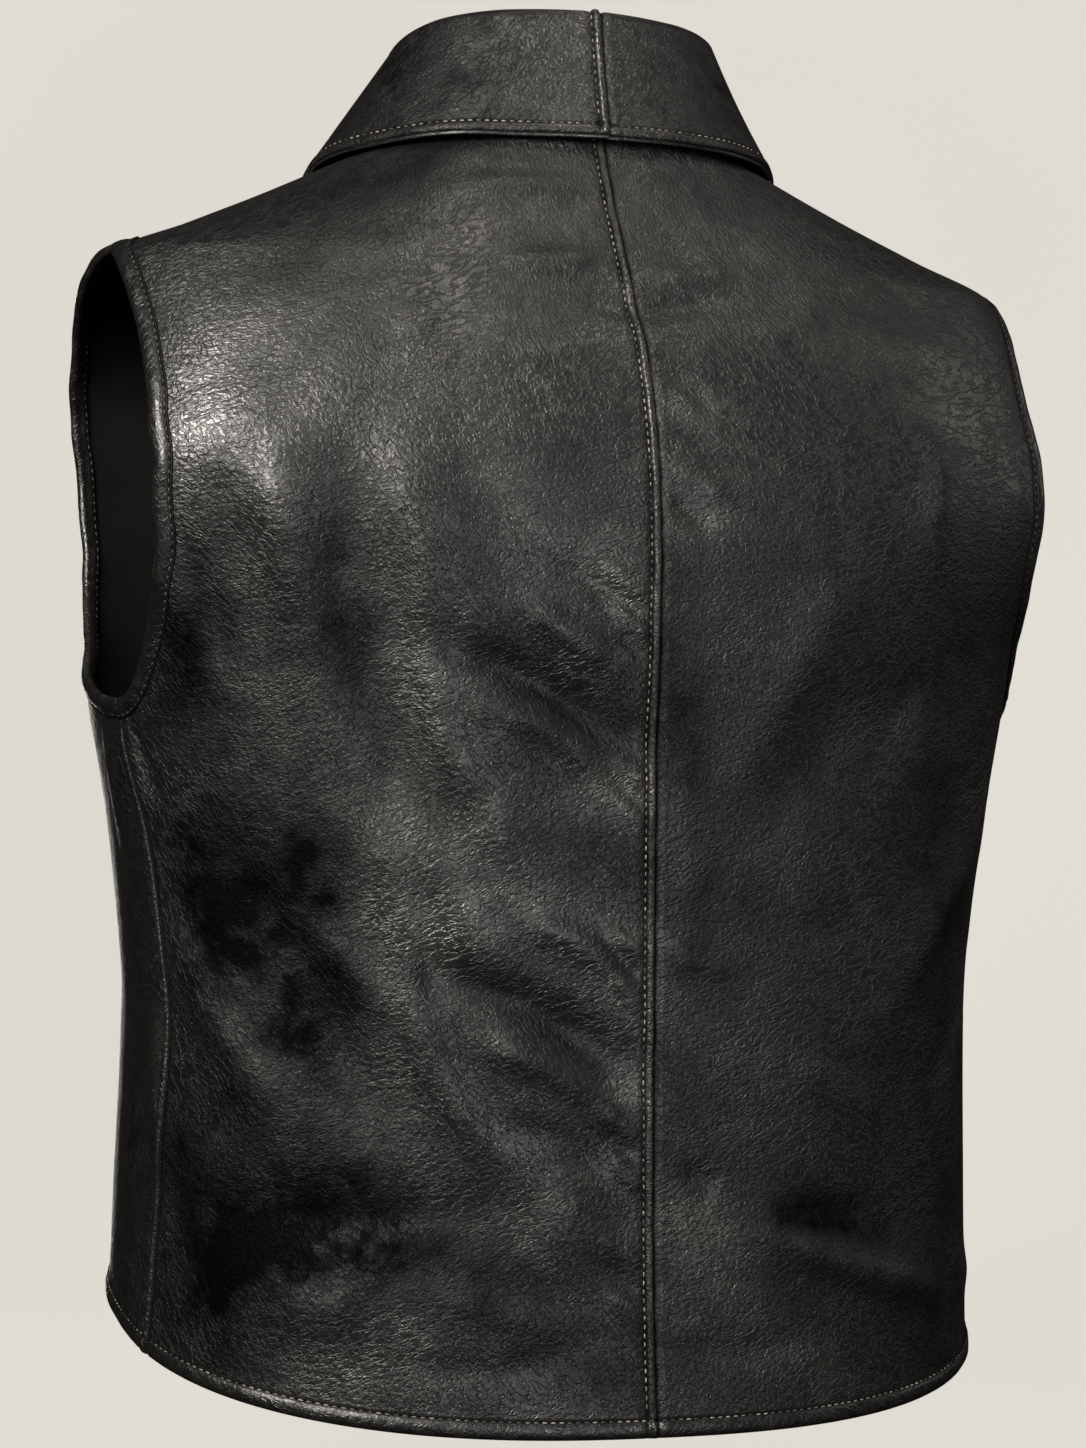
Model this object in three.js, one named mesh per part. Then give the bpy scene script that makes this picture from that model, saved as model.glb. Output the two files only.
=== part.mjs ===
// A sleeveless leather vest with a turned-down collar, standing open and hollow as it does when worn.
// Millimetres, +Z up. The wearer faces -Y, so the back of the vest is at +Y and the wearer's left is +X.
// The origin lies on the centre plane at the height of the neck seam, between the two shoulders.
// Every sewn piece is a thin closed wall made from one body surface, so neighbours fit along their seams.
import * as THREE from "three";

// Driving sizes of the leather and its seams
const LEATHER = 1.4;
const SEAM_GAP = 0.3;
const SEAM_RIDGE = { width: 3, height: 0.9 };
const HEM_BAND = { width: 7, leather: 1.0, gap: 0.4, innerGap: 0.4 };
const ARMHOLE_BAND = { width: 6.5, leather: 1.0, gap: 1.7, innerGap: 1.6 };
const LAP = { past: 15, under: 5.1, step: 18 };

// Body sections from hem to neck: half width, y at the centre back and centre front, y of the widest point,
// and how square the back and front halves of the outline are (2 is an ellipse)
const SECTIONS = [
  { z: -570, half: 201.5, back: 139.8, front: -118, middle: 0, squareBack: 2.43, squareFront: 2.43 },
  { z: -480, half: 199.5, back: 129.0, front: -116, middle: 1.5, squareBack: 2.43, squareFront: 2.43 },
  { z: -400, half: 197.5, back: 125.8, front: -115, middle: 3, squareBack: 2.43, squareFront: 2.43 },
  { z: -330, half: 203.3, back: 122.8, front: -119, middle: 4.2, squareBack: 2.43, squareFront: 2.43 },
  { z: -265, half: 214.1, back: 121.6, front: -125, middle: 5.3, squareBack: 2.43, squareFront: 2.43 },
  { z: -235, half: 219.2, back: 122.6, front: -124, middle: 5.5, squareBack: 2.43, squareFront: 2.43 },
  { z: -200, half: 233, back: 122.4, front: -121, middle: 5.4, squareBack: 2.43, squareFront: 2.43 },
  { z: -160, half: 247, back: 118.5, front: -113, middle: 5, squareBack: 2.43, squareFront: 2.72 },
  { z: -110, half: 229, back: 103.6, front: -103, middle: 3, squareBack: 2.43, squareFront: 3.72 },
  { z: -66, half: 213, back: 77.0, front: -86, middle: 0, squareBack: 2.43, squareFront: 3.1 },
  { z: -50, half: 177, back: 67.5, front: -77, middle: -4, squareBack: 2.43, squareFront: 2.9 },
  { z: -33, half: 138.6, back: 57.6, front: -68, middle: -9, squareBack: 2.43, squareFront: 2.5 },
  { z: 0, half: 72, back: 42.5, front: -52, middle: -20, squareBack: 2.43, squareFront: 2.43 },
];

// The hem is lowest at the centre back, rises to the front and hangs a little higher on the wearer's left
const HEM = { back: -566.5, frontRise: 51, leftRise: 6 };

// Where the side seam lies, in degrees round from the centre back
const SIDE_SEAM = [
  { z: -567, angle: 79.6 },
  { z: -471, angle: 77.9 },
  { z: -400, angle: 77.4 },
  { z: -331, angle: 79.5 },
  { z: -245, angle: 84.0 },
];

// Armhole opening seen from the side. The turn is 0 at its top, on the shoulder, and 180 at the side seam
const ARMHOLE = { z: -162, halfHeight: 96 };
const ARMHOLE_EDGE = [
  { turn: 0, back: 0, front: 0 },
  { turn: 15, back: 14.6, front: -21 },
  { turn: 30, back: 29, front: -38 },
  { turn: 45, back: 42.6, front: -57 },
  { turn: 60, back: 56, front: -71.5 },
  { turn: 75, back: 69, front: -78 },
  { turn: 90, back: 76.5, front: -77.5 },
  { turn: 105, back: 74.6, front: -71.5 },
  { turn: 120, back: 67.3, front: -62.7 },
  { turn: 135, back: 57.5, front: -48 },
  { turn: 150, back: 49, front: -28.5 },
  { turn: 165, back: 41, front: -1.5 },
  { turn: 180, back: 30.5, front: 30.5 },
];

// Neck opening seen from above. Its back half is the top section, its front half dips down the chest
const NECK = { middle: -20, half: 72, front: 70, square: 2.3 };

// Collar: the roll line along its top and the lower edge of its fall, by turn round the neck from the
// centre back. The bulge rounds the fall outward between the two, over the shoulders
const COLLAR = { leather: 1.3, rollRadius: 4, seamInset: 1.6, seamLift: 1.2, end: 172 };
const COLLAR_LINES = [
  { turn: 0, rollX: 0, rollY: 35.3, rollZ: 50.9, edgeX: 0, edgeY: 53.4, edgeZ: -5.7, bulge: -1 },
  { turn: 30, rollX: 37.5, rollY: 27, rollZ: 50, edgeX: 56, edgeY: 44.5, edgeZ: -6.3, bulge: -1 },
  { turn: 60, rollX: 65, rollY: 5, rollZ: 46, edgeX: 96, edgeY: 16, edgeZ: -10, bulge: -1 },
  { turn: 90, rollX: 73.5, rollY: -24, rollZ: 37, edgeX: 114.5, edgeY: -28, edgeZ: -17, bulge: 0 },
  { turn: 105, rollX: 70, rollY: -40, rollZ: 24, edgeX: 113, edgeY: -54, edgeZ: -28, bulge: 2.5 },
  { turn: 120, rollX: 62, rollY: -56, rollZ: 8, edgeX: 107, edgeY: -77, edgeZ: -48, bulge: 4.5 },
  { turn: 150, rollX: 37, rollY: -79, rollZ: -35, edgeX: 85, edgeY: -99, edgeZ: -84, bulge: 5 },
  { turn: 172, rollX: 10, rollY: -88, rollZ: -56, edgeX: 60, edgeY: -110, edgeZ: -113, bulge: 3 },
];

// Main creases of the leather, as soft ridges (height above 0) and troughs (below 0). Each runs from one
// point to another and bows sideways at its middle. Girth is measured round from the centre back at the
// chest, positive to the wearer's left
const CREASES = [
  { girth0: 196, z0: -125, girth1: 165, z1: -165, bow: 0, width: 26, height: 3.2 },
  { girth0: 134, z0: -160, girth1: 117, z1: -290, bow: 5, width: 15, height: -3.2 },
  { girth0: 106, z0: -168, girth1: 70, z1: -312, bow: 9, width: 17, height: 2.8 },
  { girth0: 92, z0: -234, girth1: 17, z1: -271, bow: 4, width: 14, height: -2.6 },
  { girth0: 112, z0: -318, girth1: 40, z1: -480, bow: 15, width: 17, height: 3.0 },
  { girth0: 93, z0: -368, girth1: 19, z1: -409, bow: 4, width: 14, height: -2.8 },
  { girth0: 180, z0: -330, girth1: 124, z1: -420, bow: -6, width: 16, height: -2.8 },
  { girth0: 207, z0: -370, girth1: 163, z1: -426, bow: 0, width: 15, height: 2.4 },
  { girth0: 152, z0: -507, girth1: 118, z1: -506, bow: 0, width: 20, height: 2.2 },
  { girth0: 169, z0: -470, girth1: 84, z1: -472, bow: 0, width: 15, height: -2.2 },
  { girth0: -57, z0: -486, girth1: -140, z1: -519, bow: 4, width: 13, height: 2.2 },
  { girth0: -144, z0: -138, girth1: -136, z1: -184, bow: 0, width: 14, height: 2.0 },
  { girth0: -120, z0: -250, girth1: -60, z1: -300, bow: -6, width: 18, height: -2.0 },
  { girth0: -190, z0: -320, girth1: -120, z1: -392, bow: -8, width: 18, height: 2.2 },
  { girth0: 322, z0: -250, girth1: 395, z1: -318, bow: 7, width: 16, height: -2.4 },
  { girth0: 330, z0: -330, girth1: 425, z1: -428, bow: 9, width: 17, height: 2.4 },
  { girth0: -318, z0: -262, girth1: -402, z1: -334, bow: -8, width: 16, height: -2.4 },
  { girth0: -344, z0: -372, girth1: -430, z1: -448, bow: -6, width: 17, height: 2.4 },
];

// Press studs that close the front lap, spaced evenly down the centre front
const STUD = { count: 5, radius: 6.5, height: 2.4, topDrop: 18, hemRise: 55, sides: 16, steps: 3 };

// How finely each piece is divided
const GRID = { backColumns: 11, frontColumns: 10, sideRows: 12, armholeStep: 12, collarSteps: 13 };
const SHOULDER_SHARES = [0, 0.07, 0.16, 0.4, 0.7, 1];

const degrees = (angle) => (angle * Math.PI) / 180;
const clamp = (value, low, high) => Math.min(high, Math.max(low, value));
const mix = (a, b, t) => a + (b - a) * t;
const smoothStep = (t) => {
  const c = clamp(t, 0, 1);
  return c * c * (3 - 2 * c);
};

// Slopes of a curve through a table's rows that never overshoots them
function tableSlopes(rows, key, column) {
  const steps = rows.slice(1).map((row, i) => row[key] - rows[i][key]);
  const rises = rows.slice(1).map((row, i) => (row[column] - rows[i][column]) / steps[i]);
  const end = (h0, h1, d0, d1) => {
    const slope = ((2 * h0 + h1) * d0 - h0 * d1) / (h0 + h1);
    if (slope * d0 <= 0) return 0;
    return d0 * d1 <= 0 && Math.abs(slope) > 3 * Math.abs(d0) ? 3 * d0 : slope;
  };
  const last = steps.length - 1;
  return rows.map((row, i) => {
    if (i === 0) return end(steps[0], steps[1], rises[0], rises[1]);
    if (i > last) return end(steps[last], steps[last - 1], rises[last], rises[last - 1]);
    if (rises[i - 1] * rises[i] <= 0) return 0;
    const w1 = 2 * steps[i] + steps[i - 1];
    const w2 = steps[i] + 2 * steps[i - 1];
    return (w1 + w2) / (w1 / rises[i - 1] + w2 / rises[i]);
  });
}

// A function that reads every column of a table smoothly at any value of its key
function tableReader(rows, key) {
  const columns = Object.keys(rows[0]).filter((name) => name !== key);
  const slopes = Object.fromEntries(columns.map((name) => [name, tableSlopes(rows, key, name)]));
  return (at) => {
    const value = clamp(at, rows[0][key], rows[rows.length - 1][key]);
    let i = 0;
    while (i < rows.length - 2 && value > rows[i + 1][key]) i += 1;
    const h = rows[i + 1][key] - rows[i][key];
    const t = (value - rows[i][key]) / h;
    const read = (name) =>
      rows[i][name] * (1 + 2 * t) * (1 - t) ** 2 +
      slopes[name][i] * h * t * (1 - t) ** 2 +
      rows[i + 1][name] * t * t * (3 - 2 * t) +
      slopes[name][i + 1] * h * t * t * (t - 1);
    return Object.fromEntries(columns.map((name) => [name, read(name)]));
  };
}

const sectionAt = tableReader(SECTIONS, "z");
const seamAt = tableReader(SIDE_SEAM, "z");
const armholeAt = tableReader(ARMHOLE_EDGE, "turn");
const collarAt = tableReader(COLLAR_LINES, "turn");

// Distance from a section's middle to its outline, in the direction of an angle from the centre back
function sectionRadius(section, angle) {
  const backward = Math.cos(angle) > 0;
  const depth = backward ? section.back - section.middle : section.middle - section.front;
  const square = backward ? section.squareBack : section.squareFront;
  const across = Math.abs(Math.sin(angle) / section.half) ** square;
  const along = Math.abs(Math.cos(angle) / depth) ** square;
  return (across + along) ** (-1 / square);
}

function bodyPoint(angle, z) {
  const section = sectionAt(z);
  const radius = sectionRadius(section, angle);
  return new THREE.Vector3(radius * Math.sin(angle), section.middle + radius * Math.cos(angle), z);
}

// Outward direction of the body surface
function bodyNormal(angle, z) {
  const turn = 0.004;
  const rise = 0.5;
  const at = clamp(z, SECTIONS[0].z + rise, -rise);
  const round = bodyPoint(angle + turn, at).sub(bodyPoint(angle - turn, at));
  const up = bodyPoint(angle, at + rise).sub(bodyPoint(angle, at - rise));
  return up.cross(round).normalize();
}

// Girth round the chest from the centre back, and the angle at which a girth is reached
const GIRTHS = (() => {
  const count = 180;
  const table = [0];
  for (let i = 1; i <= count; i += 1) {
    const here = bodyPoint((Math.PI * i) / count, -330);
    table.push(table[i - 1] + here.distanceTo(bodyPoint((Math.PI * (i - 1)) / count, -330)));
  }
  return table;
})();

function girthOf(angle) {
  const last = GIRTHS.length - 1;
  const at = (Math.abs(angle) / Math.PI) * last;
  const i = Math.min(last - 1, Math.floor(at));
  return Math.sign(angle) * mix(GIRTHS[i], GIRTHS[i + 1], at - i);
}

function angleOfGirth(girth) {
  const last = GIRTHS.length - 1;
  let i = 0;
  while (i < last - 1 && Math.abs(girth) > GIRTHS[i + 1]) i += 1;
  const part = (Math.abs(girth) - GIRTHS[i]) / (GIRTHS[i + 1] - GIRTHS[i]);
  return (Math.sign(girth) * Math.PI * (i + part)) / last;
}

// Height of one crease at a place on the cloth
function creaseHeight(crease, girth, z) {
  const [g0, z0, g1, z1] = [crease.girth0, crease.z0, crease.girth1, crease.z1];
  const length = Math.hypot(g1 - g0, z1 - z0);
  const along = ((girth - g0) * (g1 - g0) + (z - z0) * (z1 - z0)) / length ** 2;
  const inside = clamp(along, 0, 1);
  const aside = ((girth - g0) * (z1 - z0) - (z - z0) * (g1 - g0)) / length;
  const across = (aside - crease.bow * 4 * inside * (1 - inside)) / crease.width;
  const past = ((along - inside) * length) / (crease.width * 1.3);
  return crease.height * Math.exp(-(across ** 2) - past ** 2);
}

// A point of the cloth, moved out from the body surface by its creases and a lift
function clothPoint(angle, z, lift) {
  const girth = girthOf(angle);
  const creases = CREASES.reduce((sum, crease) => sum + creaseHeight(crease, girth, z), 0);
  return bodyPoint(angle, z).addScaledVector(bodyNormal(angle, z), creases + lift);
}

// The hem lies in a tilted plane through the lowest section
function hemHeight(angle) {
  const low = SECTIONS[0];
  const radius = sectionRadius(low, angle);
  const forward = (low.back - low.middle - radius * Math.cos(angle)) / (low.back - low.front);
  return HEM.back + HEM.frontRise * forward + (HEM.leftRise * radius * Math.sin(angle)) / low.half;
}

// The angle at which the body surface has a given y at height z, on the side given by 1 or -1
function angleAtDepth(side, y, z) {
  const section = sectionAt(z);
  const backward = y > section.middle;
  const depth = backward ? section.back - section.middle : section.middle - section.front;
  const square = backward ? section.squareBack : section.squareFront;
  const share = 1 - Math.min(0.999, Math.abs(y - section.middle) / depth) ** square;
  return side * Math.atan2(section.half * share ** (1 / square), y - section.middle);
}

// A place on the finished armhole edge. Turns run from 0 at the top to 180 at the side seam, on the back
// or the front of the arm, and a turn past either end goes on along the other half
function armholeEdge(side, half, turn) {
  const other = half === "back" ? "front" : "back";
  if (turn < 0) return armholeEdge(side, other, -turn);
  if (turn > 180) return armholeEdge(side, other, 360 - turn);
  const z = ARMHOLE.z + ARMHOLE.halfHeight * Math.cos(degrees(turn));
  return { angle: angleAtDepth(side, armholeAt(turn)[half], z), z };
}

// The place that lies a distance into the leather from the armhole edge, measured along the surface
function armholePlace(side, half, turn, distance) {
  const point = (at) => {
    const place = armholeEdge(side, half, at);
    return bodyPoint(place.angle, place.z);
  };
  const place = armholeEdge(side, half, turn);
  const start = point(turn);
  const along = point(turn + 1).sub(point(turn - 1));
  const into = bodyNormal(place.angle, place.z).cross(along).normalize();
  const middle = new THREE.Vector3(start.x, 0, ARMHOLE.z);
  if (into.dot(start.clone().sub(middle)) < 0) into.negate();
  start.addScaledVector(into, distance);
  return { angle: Math.atan2(start.x, start.y - sectionAt(start.z).middle), z: start.z };
}

// A place on the neck edge, by turn round the neck from the centre back
function neckPlace(side, turn) {
  const top = SECTIONS[SECTIONS.length - 1];
  if (turn <= 90) return { angle: side * degrees(turn), z: 0 };
  const oval = { ...top, middle: NECK.middle, half: NECK.half, front: NECK.middle - NECK.front };
  const radius = sectionRadius({ ...oval, squareFront: NECK.square }, degrees(turn));
  const x = radius * Math.sin(degrees(turn));
  const y = NECK.middle + radius * Math.cos(degrees(turn));
  let [low, high] = [-140, 0];
  for (let i = 0; i < 40; i += 1) {
    const z = (low + high) / 2;
    const section = sectionAt(z);
    const reach = sectionRadius(section, Math.atan2(x, y - section.middle));
    if (reach < Math.hypot(x, y - section.middle)) high = z;
    else low = z;
  }
  const section = sectionAt(low);
  const angle = Math.atan2(x, y - section.middle);
  return { angle: side * (angle < 0 ? angle + 2 * Math.PI : angle), z: low };
}

function material(color, roughness, metalness) {
  return new THREE.MeshStandardMaterial({ color, roughness, metalness });
}

// One closed wall from a grid of outer points and a matching grid of inner points
function wallMesh(name, outer, inner, closedRing, look) {
  const [rows, columns] = [outer.length, outer[0].length];
  const points = [...outer.flat(), ...inner.flat()];
  const outside = (r, c) => (r % rows) * columns + c;
  const inside = (r, c) => rows * columns + (r % rows) * columns + c;
  const faces = [];
  const quad = (a, b, c, d) => faces.push([a, b, c], [a, c, d]);
  const lastRow = closedRing ? rows : rows - 1;
  for (let r = 0; r < lastRow; r += 1) {
    for (let c = 0; c < columns - 1; c += 1) {
      quad(outside(r, c), outside(r, c + 1), outside(r + 1, c + 1), outside(r + 1, c));
      quad(inside(r, c), inside(r + 1, c), inside(r + 1, c + 1), inside(r, c + 1));
    }
    quad(outside(r, 0), outside(r + 1, 0), inside(r + 1, 0), inside(r, 0));
    const c = columns - 1;
    quad(outside(r, c), inside(r, c), inside(r + 1, c), outside(r + 1, c));
  }
  if (!closedRing) {
    for (let c = 0; c < columns - 1; c += 1) {
      const r = rows - 1;
      quad(outside(0, c), inside(0, c), inside(0, c + 1), outside(0, c + 1));
      quad(outside(r, c), outside(r, c + 1), inside(r, c + 1), inside(r, c));
    }
  }
  let volume = 0;
  faces.forEach(([a, b, c]) => {
    volume += points[a].dot(new THREE.Vector3().crossVectors(points[b], points[c]));
  });
  const turned = volume < 0 ? faces.map(([a, b, c]) => [a, c, b]) : faces;
  const geometry = new THREE.BufferGeometry();
  const numbers = points.flatMap((p) => p.toArray());
  geometry.setAttribute("position", new THREE.Float32BufferAttribute(numbers, 3));
  geometry.setIndex(turned.flat());
  geometry.computeVertexNormals();
  const mesh = new THREE.Mesh(geometry, look);
  mesh.name = name;
  return mesh;
}

// Columns of a panel: some at set distances from its inner or outer edge, the rest shared evenly between.
// Seams with a ridge, and the front lap, have extra columns
const HALF_GAP = SEAM_GAP / 2;
const RIDGE_STEPS = [HALF_GAP, 0.8, SEAM_RIDGE.width - 0.4, SEAM_RIDGE.width + 0.5];
const LAP_END = 2 * LAP.past + 1;
const LAP_STEPS = [0, LAP.past, LAP_END, LAP_END + LAP.step / 2, LAP_END + LAP.step];
function panelColumns(side, half) {
  const back = half === "back";
  const inner = !back ? LAP_STEPS : side > 0 ? RIDGE_STEPS : [HALF_GAP];
  const outer = back ? [HALF_GAP] : [...RIDGE_STEPS].reverse();
  const count = back ? GRID.backColumns : GRID.frontColumns;
  const margins = [inner[inner.length - 1] + 7, outer[0] + 7];
  return [
    ...inner.map((at) => ({ from: "inner", at })),
    ...Array.from({ length: count }, (_, i) => {
      const at = 1 - (1 - i / (count - 1)) ** (back ? 1.2 : 1.5);
      return { from: "share", at, margins };
    }),
    ...outer.map((at) => ({ from: "outer", at })),
  ];
}

function columnAngle(column, inner, outer, z) {
  const step = (angle, length) => (Math.sign(outer - inner) * length) / sectionRadius(sectionAt(z), angle);
  if (column.from === "inner") return inner + step(inner, column.at);
  if (column.from === "outer") return outer - step(outer, column.at);
  const first = girthOf(inner + step(inner, column.margins[0]));
  const last = girthOf(outer - step(outer, column.margins[1]));
  return angleOfGirth(mix(first, last, column.at));
}

// How much a ridge along an edge lifts the leather, at a distance from that edge
function ridgeLift(distance) {
  const rise = clamp(distance / 0.8, 0.55, 1);
  const fall = clamp((SEAM_RIDGE.width + 0.5 - distance) / 0.9, 0, 1);
  return SEAM_RIDGE.height * Math.min(rise, fall);
}

// The panels' cut edges stop short of the finished edges, which the bindings wrap
const HEM_EDGE = HEM_BAND.leather + HEM_BAND.gap;
const ARMHOLE_INSET = ARMHOLE_BAND.leather + ARMHOLE_BAND.gap;
const ARMHOLE_BOTTOM = armholePlace(1, "back", 180, ARMHOLE_INSET).z;
const ARMHOLE_TOP = armholePlace(1, "back", 0, ARMHOLE_INSET).z;
const FRONT_YOKE = -128;

function lapAngle(side, z) {
  const section = sectionAt(z);
  return side * (Math.PI + Math.asin(LAP.past / (section.middle - section.front)));
}

// Height of a row beside the side seam: rows 0 and 1 carry the hem band, the rest share what is left
function sideRowHeight(row, angle) {
  const low = hemHeight(angle) + HEM_EDGE;
  if (row === 0) return low;
  return mix(low + HEM_BAND.width, ARMHOLE_BOTTOM, (row - 1) / GRID.sideRows);
}

// One column of a row that runs from a place on the outer edge to a height at the inner edge
function rowPlace(column, side, half, outer, innerHeight) {
  const inner = (z) => (half === "back" ? 0 : lapAngle(side, z));
  const first = columnAngle(column, inner(outer.z), outer.angle, outer.z);
  const share = (first - outer.angle) / (inner(outer.z) - outer.angle);
  const z = mix(outer.z, innerHeight, smoothStep(share));
  return { angle: columnAngle(column, inner(z), outer.angle, z), z, share };
}

// Turn round the neck at which a front's column meets the neck edge
function neckTurn(column, share, columns, lapShare) {
  const turnOf = (at) => 180 + THREE.MathUtils.radToDeg(Math.asin((LAP.past - at) / NECK.front));
  if (column.from === "inner") return turnOf(column.at);
  const lastLap = columns.filter((other) => other.from === "inner").at(-1);
  return mix(90, turnOf(lastLap.at), share / lapShare);
}

// Places of one panel's grid, in rows from the hem up and columns from the centre out
function panelPlaces(side, half, columns) {
  const rows = [];
  for (let row = 0; row <= GRID.sideRows; row += 1) {
    const guess = sideRowHeight(row, side * degrees(79));
    const outer = side * degrees(seamAt(guess).angle);
    const inner = half === "back" ? 0 : lapAngle(side, guess);
    const angles = columns.map((column) => columnAngle(column, inner, outer, guess));
    rows.push(angles.map((angle) => ({ angle, z: sideRowHeight(row, angle) })));
  }
  for (let turn = 180; turn > 0; turn -= GRID.armholeStep) {
    const outer = armholePlace(side, half, turn, ARMHOLE_INSET);
    const risen = (outer.z - ARMHOLE_BOTTOM) / (ARMHOLE_TOP - ARMHOLE_BOTTOM);
    const inner = half === "back" ? outer.z : mix(ARMHOLE_BOTTOM, FRONT_YOKE, risen);
    rows.push(columns.map((column) => rowPlace(column, side, half, outer, inner)));
  }
  for (const share of SHOULDER_SHARES) {
    const angle = (side * Math.PI) / 2;
    if (half === "back") {
      const outer = { angle, z: mix(ARMHOLE_TOP, 0, share) };
      rows.push(columns.map((column) => rowPlace(column, side, half, outer, outer.z)));
    } else {
      const tip = { angle, z: ARMHOLE_TOP };
      const lows = columns.map((column) => rowPlace(column, side, half, tip, FRONT_YOKE));
      const lapShare = lows[LAP_STEPS.length - 1].share;
      rows.push(columns.map((column, c) => {
        const low = lows[c];
        const neck = neckPlace(side, neckTurn(column, low.share, columns, lapShare));
        return { angle: mix(low.angle, neck.angle, share), z: mix(low.z, neck.z, share) };
      }));
    }
  }
  return rows;
}

// The right front passes under the left one, so it is sunk near the centre front
function underLift(side, angle, z) {
  if (side > 0 || Math.cos(angle) > 0) return 0;
  const distance = side * bodyPoint(angle, z).x;
  return -LAP.under * (1 - smoothStep((distance - LAP.past - 1) / LAP.step));
}

// Outer and inner points of a panel
function panelGrid(side, half) {
  const columns = panelColumns(side, half);
  const places = panelPlaces(side, half, columns);
  const lift = (place, column) => {
    if (half === "back") return side > 0 && column.from === "inner" ? ridgeLift(column.at) : 0;
    const clear = smoothStep((ARMHOLE_BOTTOM - ARMHOLE_BAND.width - 4 - place.z) / 8);
    return column.from === "outer" ? ridgeLift(column.at) * clear : 0;
  };
  const point = ({ angle, z }, extra) => clothPoint(angle, z, underLift(side, angle, z) + extra);
  return {
    places,
    outer: places.map((row) => row.map((place, c) => point(place, lift(place, columns[c])))),
    inner: places.map((row) => row.map((place) => point(place, -LEATHER))),
  };
}

// Cross-section of a binding folded round a panel's edge, from the outer flap to the inner one.
// Edge and deep hold the panel's outer and inner points and its normal, at its edge and further in
function bindingSection(edge, deep, band) {
  const away = edge.outer.clone().sub(deep.outer).normalize();
  const move = (at, from, outward, past) =>
    from.clone().addScaledVector(at.normal, outward).addScaledVector(away, past);
  const middle = edge.outer.clone().add(edge.inner).multiplyScalar(0.5);
  const { gap, innerGap, leather } = band;
  return {
    inner: [
      move(deep, deep.outer, gap, 0),
      move(edge, edge.outer, gap, gap),
      move(edge, middle, 0, gap),
      move(edge, edge.inner, -innerGap, gap),
      move(deep, deep.inner, -innerGap, 0),
    ],
    outer: [
      move(deep, deep.outer, gap + leather * 0.8, 0),
      move(edge, edge.outer, gap + leather, gap + leather * 0.35),
      move(edge, middle, 0, gap + leather),
      move(edge, edge.inner, -innerGap - leather, gap + leather * 0.35),
      move(deep, deep.inner, -innerGap - leather * 0.8, 0),
    ],
  };
}

function bindingWall(name, sections, closedRing, look) {
  return wallMesh(name, sections.map((s) => s.outer), sections.map((s) => s.inner), closedRing, look);
}

function hemBand(name, grid, look) {
  const sections = grid.places[0].map((place, c) => {
    const normal = bodyNormal(place.angle, place.z);
    const at = (row) => ({ outer: grid.outer[row][c], inner: grid.inner[row][c], normal });
    return bindingSection(at(0), at(1), HEM_BAND);
  });
  return bindingWall(name, sections, false, look);
}

// The point of a grid's faces that lies nearest to a given point
function nearestOnFaces(points, target) {
  let best = null;
  const found = new THREE.Vector3();
  const tryFace = (a, b, c) => {
    new THREE.Triangle(a, b, c).closestPointToPoint(target, found);
    if (!best || found.distanceTo(target) < best.distanceTo(target)) best = found.clone();
  };
  for (let r = 0; r < points.length - 1; r += 1) {
    for (let c = 0; c < points[r].length - 1; c += 1) {
      tryFace(points[r][c], points[r][c + 1], points[r + 1][c + 1]);
      tryFace(points[r][c], points[r + 1][c + 1], points[r + 1][c]);
    }
  }
  return best;
}

// The armhole binding follows the panels' own edges and faces, with a section at each of their edge
// points and one halfway between
function armholeBinding(name, side, grids, look) {
  const step = GRID.armholeStep / 2;
  const turns = [];
  for (let turn = 180; turn > 0; turn -= step) turns.push(["back", turn]);
  for (let turn = 0; turn < 180; turn += step) turns.push(["front", turn]);
  const sections = turns.map(([half, turn]) => {
    const row = GRID.sideRows + 1 + (180 - turn) / GRID.armholeStep;
    const edgeOf = (points) =>
      points[Math.floor(row)].at(-1).clone().lerp(points[Math.ceil(row)].at(-1), row - Math.floor(row));
    const nearest = (layer, target) => {
      const [one, other] = [grids.back, grids.front].map((grid) => nearestOnFaces(grid[layer], target));
      return one.distanceTo(target) < other.distanceTo(target) ? one : other;
    };
    const edge = armholePlace(side, half, turn, ARMHOLE_INSET);
    const deep = armholePlace(side, half, turn, ARMHOLE_INSET + ARMHOLE_BAND.width);
    const { outer, inner } = grids[half];
    return bindingSection(
      { outer: edgeOf(outer), inner: edgeOf(inner), normal: bodyNormal(edge.angle, edge.z) },
      {
        outer: nearest("outer", clothPoint(deep.angle, deep.z, 0)),
        inner: nearest("inner", clothPoint(deep.angle, deep.z, -LEATHER)),
        normal: bodyNormal(deep.angle, deep.z),
      },
      ARMHOLE_BAND,
    );
  });
  return bindingWall(name, sections, true, look);
}

// Collar: a curve from the neck seam up the stand, over the roll and down the fall.
// Part 0 to 1 is the stand, 1 to 2 the roll and 2 to 3 the fall
function collarSeam(side, turn) {
  const neck = neckPlace(1, turn);
  const seam = bodyPoint(neck.angle, neck.z);
  seam.addScaledVector(bodyNormal(neck.angle, neck.z), underLift(side, side * neck.angle, neck.z));
  const inward = new THREE.Vector3(-seam.x, NECK.middle - seam.y, 0).normalize();
  seam.addScaledVector(inward, COLLAR.seamInset);
  seam.z += COLLAR.seamLift;
  return seam;
}

function rollPoint(turn) {
  const row = collarAt(turn);
  return new THREE.Vector3(row.rollX, row.rollY, row.rollZ);
}

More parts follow.
